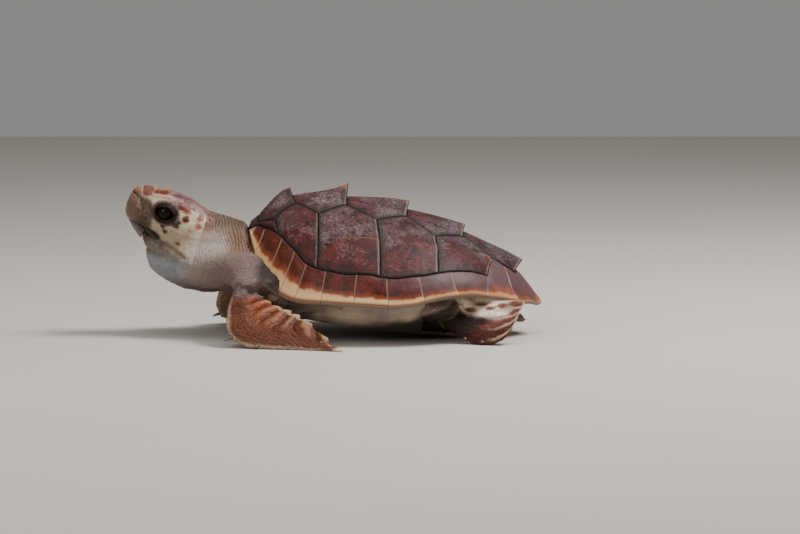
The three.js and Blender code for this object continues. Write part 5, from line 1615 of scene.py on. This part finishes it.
def claw_material():
    """Claw horn: cream and slightly waxy, dark at its root, with growth lines 0.3 mm apart."""
    material, tree, shader, place = new_material("claw_horn_cream", IOR=1.54)
    share = node(tree, "ShaderNodeAttribute", attribute_name="share").outputs["Fac"]
    horn = node(tree, "ShaderNodeValToRGB", {"Fac": share},
                stops=((0.0, "#43352b"), (0.75, "#6e5f4c"))).outputs[0]
    line = node(tree, "ShaderNodeTexNoise", {"Vector": place, "Scale": 1 / (0.3 * MM),
                                             "Detail": 2.0}).outputs["Fac"]
    shade, rough = (
        node(tree, "ShaderNodeMapRange", {"Value": value, "To Min": start,
                                          "To Max": end}).outputs[0]
        for value, start, end in ((line, 0.8, 1.15), (share, 0.5, 0.34))
    )
    shaded = node(tree, "ShaderNodeVectorMath", {0: horn, "Scale": shade},
                  operation="SCALE").outputs[0]
    bump = node(tree, "ShaderNodeBump", {"Strength": 0.3, "Distance": 0.05 * MM, "Height": line})
    feed(tree, shader, {"Base Color": shaded, "Roughness": rough, "Normal": bump.outputs[0]})
    return material


claw_finish = claw_material()
for limb in ("front", "hind"):
    for side, sign in SIDES:
        for number in (1, 2):
            name = f"{limb}_claw_{side}_{number}"
            points, _ = solid_of(name)
            middle = points.mean(axis=0)
            tip = points[np.argmax(np.linalg.norm(points - middle, axis=1))]
            lean = (tip - middle) / np.linalg.norm(tip - middle)
            root = middle + lean * ((points - middle) @ lean).min()
            length = (tip - root) @ lean
            across = np.cross(lean, (0, 0, 1.0))
            across /= np.linalg.norm(across)
            above = np.cross(across, lean)
            wide = np.abs((points - root) @ across).max()
            share = np.linspace(0, 1, CLAW_RINGS)[:, None]
            turn = full_turn(CLAW_SPOKES)[None]
            radius = wide * np.sqrt(np.clip(1 - share ** 1.6, 0.003, 1))
            bend = 0.16 * length * (share ** 2 - share)
            claw = (root + lean * (share * length)[..., None]
                    + across * (radius * np.cos(turn))[..., None]
                    + above * (0.8 * radius * np.sin(turn) - bend)[..., None])
            claw[..., 2] = np.maximum(claw[..., 2], 0.05)
            shape = np.concatenate([claw.reshape(-1, 3), [root], [claw[-1].mean(axis=0)]])
            hub, last = claw[..., 0].size, (CLAW_RINGS - 1) * CLAW_SPOKES
            faces = []
            for k in range(CLAW_SPOKES):
                after = (k + 1) % CLAW_SPOKES
                for low in range(0, last, CLAW_SPOKES):
                    high = low + CLAW_SPOKES
                    faces.append([low + k, low + after, high + after, high + k])
                faces += [[after, k, hub], [last + k, last + after, hub + 1]]
            shares = np.concatenate([np.repeat(share.ravel(), CLAW_SPOKES), [0, 1]])
            made = make_object(f"{name}_horn", shape, faces, {"share": shares})
            face = made.data.polygons[3]
            from_root = np.array(face.center) / MM - root
            outward = from_root - lean * (from_root @ lean)
            if np.dot(np.array(face.normal), outward) < 0:
                made.data.flip_normals()
            made.data.materials.append(claw_finish)
            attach(made, ROOT)
            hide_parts(name)

# ---- Scales ----------------------------------------------------------------------------------
# Scales of horny skin lie edge to edge over the leathery skin: a few broad plates on the crown,
# middling ones on the cheeks and jaw, and a close pavement of small ones on flippers and feet.

SCALE_FOOT = 0.35  # mm, how deep a scale's edge sinks into the skin
PATCH = 0.0015  # half of a scale's width on the unwrap
CORNER_POWER = 12  # how squarely two sides of a scale meet
chance = np.random.default_rng(14)
skin_tree = BVHTree.FromPolygons([Vector(p) for p in skin_points],
                                 [tuple(polygon.vertices) for polygon in mesh_faces], epsilon=0.0)


def on_skin(points):
    """The nearest places on the skin, in mm."""
    return np.array([skin_tree.find_nearest(Vector(p))[0] for p in points])


def value_at(points, table):
    """Rows of a table of the skin's points, at those nearest to points."""
    return table[[skin_points_tree.find(Vector(p))[1] for p in points]]


def tree_of(points):
    """A tree that finds the nearest of points."""
    tree = KDTree(len(points))
    for i, point in enumerate(points):
        tree.insert(Vector(point), i)
    tree.balance()
    return tree


skin_points_tree = tree_of(skin_points)


def scatter(index, size, fixed=(), passes=2):
    """Roots of scales over the skin points in index, each about size mm in radius apart."""
    places, sizes = skin_points[index], size[index]
    tree = tree_of(places)
    taken = np.zeros(len(places), bool)
    roots = []
    for point, radius in fixed:
        for _, i, _ in tree.find_range(Vector(point), radius * 1.35):
            taken[i] = True
    for i in chance.permutation(len(places)):
        if taken[i]:
            continue
        roots.append(i)
        for _, k, _ in tree.find_range(Vector(places[i]), sizes[i] * 1.75):
            taken[k] = True
    points = places[roots]
    held = np.array([point for point, _ in fixed]).reshape(-1, 3)
    for _ in range(passes):
        every = tree_of(np.concatenate([held, points]))
        owner = np.array([every.find(Vector(p))[1] for p in places])
        count = np.maximum(1, np.bincount(owner, minlength=len(held) + len(points)))
        sums = [np.bincount(owner, places[:, k], len(count)) for k in range(3)]
        middle = np.stack(sums, 1) / count[:, None]
        points = np.where(np.bincount(owner, minlength=len(count))[len(held):, None] > 0,
                          middle[len(held):], points)
    points = on_skin(points)
    everywhere = np.concatenate([held, points])
    radii = np.concatenate([[radius for _, radius in fixed], value_at(points, size)])
    return everywhere, radii


def scale_outlines(roots, radii, lie, spokes, stretch, gap):
    """Each scale's frame and its edge's distance in every direction, short of its neighbours."""
    normals = value_at(roots, skin_normals)
    ahead = lie - (lie * normals).sum(1)[:, None] * normals
    ahead /= np.linalg.norm(ahead, axis=1)[:, None]
    side = np.cross(normals, ahead)
    tree = tree_of(roots)
    turn = full_turn(spokes)
    edge = np.zeros((len(roots), spokes))
    for i, root in enumerate(roots):
        near = [k for _, k, _ in tree.find_n(Vector(root), 12) if k != i]
        gaps = roots[near] - root
        flat = np.stack([gaps @ ahead[i] / stretch, gaps @ side[i]], 1)
        far = np.maximum(0.3, np.linalg.norm(gaps, axis=1))
        flat *= (far / np.maximum(0.2, np.linalg.norm(flat, axis=1)))[:, None]
        larger = (radii[i] - radii[near]) / (radii[i] + radii[near])
        half = far / 2 * (1 + 0.55 * larger) - gap / 2
        heading = np.arctan2(flat[:, 1], flat[:, 0])
        facing = np.maximum(0, np.cos(turn[:, None] - heading[None])) / np.maximum(0.25, half)
        total = (facing ** CORNER_POWER).sum(1) + (1 / (1.25 * radii[i])) ** CORNER_POWER
        edge[i] = total ** (-1 / CORNER_POWER)
    return normals, ahead * stretch, side, turn, edge


def set_unwrap(mesh, place):
    """Gives a mesh its map, from each point's place on a square."""
    layer = mesh.uv_layers.new(name="OFBake")
    loops = np.empty(len(mesh.loops), np.int64)
    mesh.loops.foreach_get("vertex_index", loops)
    layer.data.foreach_set("uv", place[loops].astype(np.float32).ravel())


def scale_mesh(name, roots, radii, lie, height, chart, spokes, rings, stretch, gap, local):
    """Domed closed scales as one object, with their markings and their places on the unwrap.

    Each is stretch times as long as wide, gap mm short of the next, and its rings stand at those
    shares of its reach. A share local of its markings follows the skin, the rest is its own."""
    normals, ahead, side, turn, edge = scale_outlines(roots, radii, lie, spokes, stretch, gap)
    count = len(roots)
    circle_ahead, circle_side = np.cos(turn)[None, :, None], np.sin(turn)[None, :, None]
    flat = edge[..., None] * (circle_ahead * ahead[:, None] + circle_side * side[:, None])
    outer = on_skin((roots[:, None] + flat).reshape(-1, 3)).reshape(count, spokes, 3)
    half = on_skin((roots[:, None] + 0.5 * flat).reshape(-1, 3)).reshape(count, spokes, 3)
    centre = roots[:, None]

    def surface(f):
        return centre * (2 * f - 1) * (f - 1) + half * 4 * f * (1 - f) + outer * f * (2 * f - 1)

    tall = height[:, None, None] * normals[:, None]
    rear = (1 + 0.35 * np.cos(turn))[None, :, None]
    rows = [surface(1.0) - SCALE_FOOT * normals[:, None]]
    for f in (1.0, *rings[::-1]):
        dome = 0.3 if f == 1 else (1 - f ** 3.2) ** 0.6 * 0.7 + 0.3
        rows.append(surface(f) + tall * dome * (1 + (rear - 1) * f))
    grid = np.stack(rows, axis=1)
    crown = roots + tall[:, 0]
    base = outer.mean(axis=1) - SCALE_FOOT * normals
    points = np.concatenate([grid.reshape(count, -1, 3), crown[:, None], base[:, None]], axis=1)
    each = points.shape[1]
    levels = len(rows)
    one = []
    for k in range(spokes):
        after = (k + 1) % spokes
        for level in range(levels - 1):
            first = level * spokes
            one.append([first + k, first + after, first + spokes + after, first + spokes + k])
        last = (levels - 1) * spokes
        one.append([last + k, last + after, levels * spokes])
        one.append([after, k, levels * spokes + 1])
    faces = [[i + shift for i in face] for shift in range(0, count * each, each) for face in one]
    ring_share = np.repeat([1.0, 1.0, *rings[::-1]], spokes)
    shares = np.concatenate([ring_share, [0.0, 1.0]])
    offset = np.zeros((count, each, 2))
    reach = edge / edge.max(axis=1, keepdims=True)
    for axis, swing in enumerate((np.cos(turn), np.sin(turn))):
        offset[:, :-2, axis] = np.tile(reach * swing, (1, levels)) * ring_share
    roots_where = places_on(roots)
    tint = skin_tint(roots, roots_where, normals)
    own = chance.normal(0, 1, count)
    tint = np.clip(tint * (1 + 0.09 * own)[:, None], 0, 1)
    tint = np.repeat(tint, each, axis=0)
    flat_points = points.reshape(-1, 3)
    beneath = skin_tint(flat_points, places_on(flat_points), np.repeat(normals, each, axis=0))
    tint = blend(tint, beneath, np.full(len(tint), local))
    made = make_object(name, flat_points, faces, {
        "tint": tint,
        "rim": np.tile(shares, count),
        "pale": np.repeat(0.5 + 0.25 * chance.normal(0, 1, count), each).clip(0, 1),
    }, sharp=60)
    place = np.repeat(chart(roots, normals, roots_where), each, axis=0)
    set_unwrap(made.data, place + PATCH * offset.reshape(-1, 2))
    return made


def unrolled(points, normals, where):
    """The head and neck unrolled about their own axis, slit underneath, on a square."""
    x, y, z = in_body(points)
    axis = np.interp(x, [-106, -60, 0, 20], [106, 82, 68, 66])
    turn = np.arctan2(y, z - axis) / (2 * np.pi) + 0.5
    return np.stack([0.03 + 0.94 * turn, 0.03 + 0.94 * (x + 108) / 140], axis=-1)


def opened(points, normals, where):
    """A blade opened like a book along its trailing edge: its outer face beside its inner one."""
    side = np.sign(in_body(points)[1])
    outward = np.stack([0 * side, side, 0.6 + 0 * side], axis=-1)
    inner = (normals * outward).sum(1) < 0
    across = np.where(inner, 1 - 0.48 * where["across"], 0.02 + 0.48 * where["across"])
    return np.stack([0.04 + 0.92 * where["along"], across * 0.96 + 0.01], axis=-1)


def scale_material(name, rough, seam):
    """Horny scale, damp: smoother than the skin, paler where it grows at its edges, with a grain
    of 0.5 mm."""
    material, tree, shader, place = new_material(name, IOR=1.5)
    tint, rim, pale = (
        node(tree, "ShaderNodeAttribute", attribute_name=key).outputs[output]
        for key, output in (("tint", "Color"), ("rim", "Fac"), ("pale", "Fac"))
    )
    grain, spot = (
        node(tree, "ShaderNodeTexNoise", {"Vector": place, "Scale": 1 / (cell * MM),
                                          "Detail": detail, "Roughness": broken}).outputs["Fac"]
        for cell, detail, broken in ((0.5, 4.0, 0.65), (3.5, 3.0, 0.5))
    )
    shade, edge, light, damp = (
        node(tree, "ShaderNodeMapRange", {"Value": value, "From Min": low, "From Max": high,
                                          "To Min": start, "To Max": end}).outputs[0]
        for value, low, high, start, end in (
            (spot, 0.3, 0.7, 0.74, 1.14),
            (rim, 0.72, 0.97, 0.0, 0.75),
            (tint, 0.01, 0.07, 0.0, 1.0),
            (spot, 0.35, 0.65, rough + 0.12, rough - 0.08),
        )
    )
    sheen = node(tree, "ShaderNodeMapRange", {"Value": light, "To Min": 0.06, "To Max": 0.3})
    for value in (pale, light):
        edge = node(tree, "ShaderNodeMath", {0: edge, 1: value}, operation="MULTIPLY").outputs[0]
    shaded = node(tree, "ShaderNodeVectorMath", {0: tint, "Scale": shade},
                  operation="SCALE").outputs[0]
    lifted = node(tree, "ShaderNodeVectorMath", {0: shaded, "Scale": 1.45},
                  operation="SCALE").outputs[0]
    seamed = node(tree, "ShaderNodeMix", {0: 0.3, 6: lifted, 7: seam}, data_type="RGBA").outputs[2]
    skin = node(tree, "ShaderNodeMix", {0: edge, 6: shaded, 7: seamed}, data_type="RGBA").outputs[2]
    bump = node(tree, "ShaderNodeBump", {"Strength": 0.4, "Distance": 0.12 * MM, "Height": grain})
    feed(tree, shader, {"Base Color": skin, "Roughness": damp,
                        "Specular IOR Level": sheen.outputs[0], "Normal": bump.outputs[0]})
    return material


def finish_scales(made, material):
    """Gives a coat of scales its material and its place."""
    made.data.materials.append(material)
    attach(made, ROOT)


# The crown's plates: how far back and out from the midline they lie, and their half width in mm.
CROWN = (
    (8.5, 3.3, 3.6), (15.6, 4.4, 4.4), (22.5, 0, 3.8), (34, 0, 7.2), (26.5, 9.8, 6.0),
    (38.5, 11.6, 5.6), (47, 6.3, 6.2), (50, 15.2, 5.0), (58, 8.2, 5.4), (57, 0, 4.0),
    (60.5, 16.2, 4.6), (67.5, 4.2, 4.4), (68.5, 12.2, 4.4),
)
OVER_CROWN = 70.0  # mm, from where each place is dropped onto the crown
down = Vector(head_point(np.array(0.0), np.array(0.0), np.array(-1.0)) - SNOUT)
crown_roots = []
for far_back, out, radius in CROWN:
    for side in ((1, -1) if out else (1,)):
        start = head_point(np.array(far_back), np.array(side * out), np.array(OVER_CROWN))
        hit = skin_tree.ray_cast(Vector(start), down)[0]
        if hit is not None:
            crown_roots.append((np.array(hit), radius))
back, out, up = in_head(skin_points)
lid = eye_distance(back, up)
size = np.interp(lid, [1.3, 1.9, 2.9, 4.2], [1.5, 1.9, 3.1, 4.0])
size = np.minimum(size, np.interp(up + 0.2 * back, [-8, 0, 8], [2.6, 3.2, 9]))
size = np.minimum(size, np.interp(back, [48, 60, 74], [9, 3.6, 1.7]))
size = np.minimum(size, np.interp(back, [14, 20, 30], [2.2, 2.8, 9]) + 9 * (up > 14))
near_hole = np.min([np.hypot(np.hypot(back - NOSTRIL[0], out - side * NOSTRIL[1]), up - NOSTRIL[2])
                    for side in (-1, 1)], axis=0)
left = (skin_where["head"] > 0.5) & (out < 0) & (lid > 1.3) & (near_hole > 2.6)
left &= line_distance(back, up, MOUTH)[0] > 1.3
half_crown = [(p, r) for p, r in crown_roots if in_head(p[None])[1][0] < 0.8]
roots, radii = scatter(np.flatnonzero(left), size, fixed=half_crown)
back, out, up = in_head(roots)
far_side = out < -1.0
mirrored = on_skin(head_point(back[far_side], -out[far_side], up[far_side]))
roots, radii = np.concatenate([roots, mirrored]), np.concatenate([radii, radii[far_side]])
lie = np.tile([0.9, 0.0, -0.4], (len(roots), 1))
height = np.interp(radii, [1.5, 4, 7], [0.16, 0.24, 0.36])
head_scales = scale_mesh("head_scales", roots, radii, lie, height, unrolled, spokes=20,
                         rings=(0.3, 0.6, 0.82, 0.94), stretch=1.08, gap=0.36, local=0.85)
finish_scales(head_scales, scale_material("scale_head_horny", 0.42, "#bfa98d"))

limb_scale = scale_material("scale_limb_horny", 0.58, "#87684d")
for part in ("flipper", "foot"):
    for side, _ in SIDES:
        name = f"{part}_{side}"
        s, t = skin_where["along"], skin_where["across"]
        if part == "flipper":
            size = np.interp(s, [0, 0.25, 0.6, 1], [0.95, 1.05, 1.3, 1.6])
            size = size + 0.7 * smooth_step(t, 0.5, 0.8) * smooth_step(s, 0.2, 0.35)
            size = size + 0.8 * smooth_step(t, 0.12, 0.03) + 0.7 * smooth_step(t, 0.9, 0.98)
        else:
            size = np.interp(s, [0, 0.4, 1], [1.5, 2.0, 2.4]) + 1.1 * smooth_step(t, 0.85, 0.97)
            size = size + 0.9 * smooth_step(np.abs(t - 0.55), 0.2, 0.05)
        scaly = skin_where[name] > 0.35
        if part == "flipper":
            scaly &= (s > 0.15) & ((t < 0.95) | (skin_points[:, 2] < 41))
        roots, radii = scatter(np.flatnonzero(scaly), size)
        centre_line = BLADES[name][0][:, BLADE_COLUMNS // 2]
        direction = centre_line[-1] - centre_line[0]
        lie = np.tile(direction / np.linalg.norm(direction), (len(roots), 1))
        height = np.interp(radii, [1, 2, 4], [0.24, 0.34, 0.45])
        made = scale_mesh(f"{name}_scales", roots, radii, lie, height, opened, spokes=12,
                          rings=(0.5, 0.86), stretch=1.25, gap=0.24, local=0.8)
        finish_scales(made, limb_scale)

# ---- Granules --------------------------------------------------------------------------------
# Pebbly granules cover the slack skin of throat, neck, shoulders, thighs and tail. One bead is
# set by Geometry Nodes over the skin at Poisson spacing, upright to it and long down the folds.

BEAD_SPOKES = 8
MOST_BEADS = 3.0e6  # to the square metre, before those too close are dropped


def bead():
    """A low dome, 1 mm in radius and closed below, that remembers each point's own place."""
    turn = full_turn(BEAD_SPOKES)
    rings = [(1.0, -0.3), (0.94, 0.1), (0.6, 0.36)]
    shape = [[r * math.cos(a), r * math.sin(a), z] for r, z in rings for a in turn]
    shape += [[0, 0, 0.44], [0, 0, -0.3]]
    faces = []
    for k in range(BEAD_SPOKES):
        after = (k + 1) % BEAD_SPOKES
        for low in (0, BEAD_SPOKES):
            high = low + BEAD_SPOKES
            faces.append([low + k, low + after, high + after, high + k])
        last, crown = 2 * BEAD_SPOKES, 3 * BEAD_SPOKES
        faces += [[last + k, last + after, crown], [after, k, crown + 1]]
    made = make_object("granule_bead", np.array(shape), faces, {})
    local = made.data.attributes.new("local", "FLOAT_VECTOR", "POINT")
    local.data.foreach_set("vector", np.array(shape, np.float32).ravel())
    return made


def granule_tree():
    """The tree that sets beads over a skin, and its sockets by name."""
    tree = bpy.data.node_groups.new("granules_over_skin", "GeometryNodeTree")
    sockets = {}
    for label, kind in (("Skin", "Geometry"), ("Bead", "Object"), ("Spacing", "Float"),
                        ("Smallest", "Float"), ("Largest", "Float"), ("Seed", "Int"),
                        ("Finish", "Material")):
        sockets[label] = tree.interface.new_socket(name=label, in_out="INPUT",
                                                   socket_type=f"NodeSocket{kind}")
    tree.interface.new_socket(name="Granules", in_out="OUTPUT", socket_type="NodeSocketGeometry")
    given = node(tree, "NodeGroupInput").outputs
    bare = node(tree, "GeometryNodeInputNamedAttribute", {"Name": "bare"},
                data_type="FLOAT").outputs["Attribute"]
    sown = node(tree, "GeometryNodeDistributePointsOnFaces", {
        "Mesh": given["Skin"], "Distance Min": given["Spacing"], "Density Max": MOST_BEADS,
        "Density Factor": bare, "Seed": given["Seed"]}, distribute_method="POISSON")
    rooted = node(tree, "GeometryNodeStoreNamedAttribute", {
        "Geometry": sown.outputs["Points"], "Name": "root",
        "Value": node(tree, "GeometryNodeInputPosition").outputs[0]},
        data_type="FLOAT_VECTOR", domain="POINT")
    turned = node(tree, "FunctionNodeAlignRotationToVector", {
        "Rotation": sown.outputs["Rotation"], "Vector": (0.29, 0.0, -0.96)},
        axis="Y", pivot_axis="Z")
    size = node(tree, "FunctionNodeRandomValue", {
        2: given["Smallest"], 3: given["Largest"], "Seed": given["Seed"]},
        data_type="FLOAT").outputs[1]
    scale = node(tree, "ShaderNodeVectorMath", {0: (0.86, 1.2, 0.8), "Scale": size},
                 operation="SCALE").outputs[0]
    shape = node(tree, "GeometryNodeObjectInfo", {"Object": given["Bead"]}).outputs["Geometry"]
    set_out = node(tree, "GeometryNodeInstanceOnPoints", {
        "Points": rooted.outputs[0], "Instance": shape, "Rotation": turned.outputs[0],
        "Scale": scale})
    solid = node(tree, "GeometryNodeRealizeInstances", {"Geometry": set_out.outputs[0]})
    finished = node(tree, "GeometryNodeSetMaterial", {
        "Geometry": solid.outputs[0], "Material": given["Finish"]})
    node(tree, "NodeGroupOutput", {"Granules": finished.outputs[0]})
    return tree, sockets


def granules(name, share, values):
    """Beads where share is above 0, as a plain mesh with markings and a place on the unwrap."""
    set_attribute(skin.data, "bare", share)
    made = bpy.data.objects.new(name, skin.data)
    bpy.context.scene.collection.objects.link(made)
    sowing = made.modifiers.new("granules", "NODES")
    sowing.node_group = granule_nodes
    for label, value in values.items():
        sowing[granule_sockets[label].identifier] = value
    mesh = apply_modifiers(made)
    mesh.name = name
    skin.data.attributes.remove(skin.data.attributes["bare"])
    count = len(mesh.vertices)
    each = len(bead_object.data.vertices)
    vectors = {}
    for key in ("root", "local"):
        vectors[key] = np.empty(count * 3, np.float32)
        mesh.attributes[key].data.foreach_get("vector", vectors[key])
        vectors[key] = vectors[key].reshape(-1, 3).astype(float)
    roots = vectors["root"][::each] / MM
    normals = value_at(roots, skin_normals)
    where = places_on(roots)
    tint = skin_tint(roots, where, normals)
    tint = tint * (1.1 + 0.11 * chance.normal(0, 1, len(roots)))[:, None]
    mesh.attributes.remove(mesh.attributes["tint"])
    set_attribute(mesh, "tint", np.clip(np.repeat(tint, each, axis=0), 0, 1))
    place = np.repeat(unrolled(roots, normals, where), each, axis=0)
    for key in ("root", "local"):
        mesh.attributes.remove(mesh.attributes[key])
    set_unwrap(mesh, place + PATCH * vectors["local"][:, :2])
    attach(made, ROOT)


bead_object = bead()
granule_nodes, granule_sockets = granule_tree()
x, y, z = in_shell(skin_points)
under_shell = (x > 16) & (x < 232) & (z > rim_height(x) + 5) & (np.abs(y) < half_width(x) - 5)
open_air = ~((x > 40) & (x < 150) | under_shell)
scaled = skin_where["flipper"] * smooth_step(skin_where["along"], 0.1, 0.16)
scaled = skin_where["head"] + skin_where["foot"] + scaled
x, y, z = in_body(skin_points)
bare = np.clip(1 - 1.6 * scaled, 0, 1) * open_air * (z > 2.5)
front = x < 60
for name, share, spacing, seed in (
    ("neck_granules", bare * (skin_where["neck"] > 0.5) * front, 1.6, 5),
    ("shoulder_granules", bare * (skin_where["neck"] <= 0.5) * front, 1.75, 6),
    ("thigh_granules", bare * ~front, 1.85, 7),
):
    granules(name, share, {
        "Bead": bead_object, "Spacing": spacing * MM, "Smallest": 0.34 * spacing,
        "Largest": 0.56 * spacing, "Seed": seed, "Finish": skin.data.materials[0]})
bpy.data.objects.remove(bead_object)


# ---- Floor, light and camera -----------------------------------------------------------------
# A plain pale studio floor under soft lamps, the largest high on the right and a little behind,
# and the camera far off the turtle's left side, a little over its back.

FLOOR_HALF = 3.0
bpy.ops.mesh.primitive_plane_add(size=2 * FLOOR_HALF, location=(0, 0, 0))
floor = bpy.context.object
floor.name = "floor"
floor_material, tree, shader, place = new_material("studio_floor_matt_paper", Roughness=0.9)
cloud = node(tree, "ShaderNodeTexNoise", {"Vector": place, "Scale": 2.5,
                                          "Detail": 3.0}).outputs["Fac"]
pale = node(tree, "ShaderNodeMix", {0: cloud, 6: "#bfb8b0", 7: "#c9c2ba"},
            data_type="RGBA").outputs[2]
feed(tree, shader, {"Base Color": pale})
floor.data.materials.append(floor_material)

for name, place, size, power in (
    ("key", (0.9, -0.05, 1.5), 0.7, 36.0),
    ("front", (-0.9, -1.5, 1.1), 1.4, 12.0),
    ("overhead", (0.0, -0.3, 1.9), 1.6, 11.0),
):
    lamp = bpy.data.lights.new(name, "AREA")
    lamp.shape = "DISK"
    lamp.size = size
    lamp.energy = power
    lamp_object = bpy.data.objects.new(name, lamp)
    lamp_object.location = place
    lamp_object.rotation_mode = "QUATERNION"
    aim = Vector((0, 0, 0.05)) - Vector(place)
    lamp_object.rotation_quaternion = aim.to_track_quat("-Z", "Y")
    bpy.context.scene.collection.objects.link(lamp_object)

world = bpy.data.worlds.new("studio_air")
world.use_nodes = True
feed(world.node_tree, world.node_tree.nodes["Background"], {"Color": "#dcd9d6", "Strength": 0.38})
bpy.context.scene.world = world

CAMERA_AHEAD, CAMERA_OFF, CAMERA_HEIGHT = 0.057, 3.17, 0.35
CAMERA_PITCH = math.radians(5.27)
lens = bpy.data.cameras.new("camera")
lens.sensor_width = 36.0
lens.lens = 166.5
lens.clip_end = 50
camera = bpy.data.objects.new("camera", lens)
camera.location = (CAMERA_AHEAD, MIDLINE * MM - CAMERA_OFF, CAMERA_HEIGHT)
camera.rotation_euler = (math.radians(90) - CAMERA_PITCH, 0, 0)
bpy.context.scene.collection.objects.link(camera)
bpy.context.scene.camera = camera
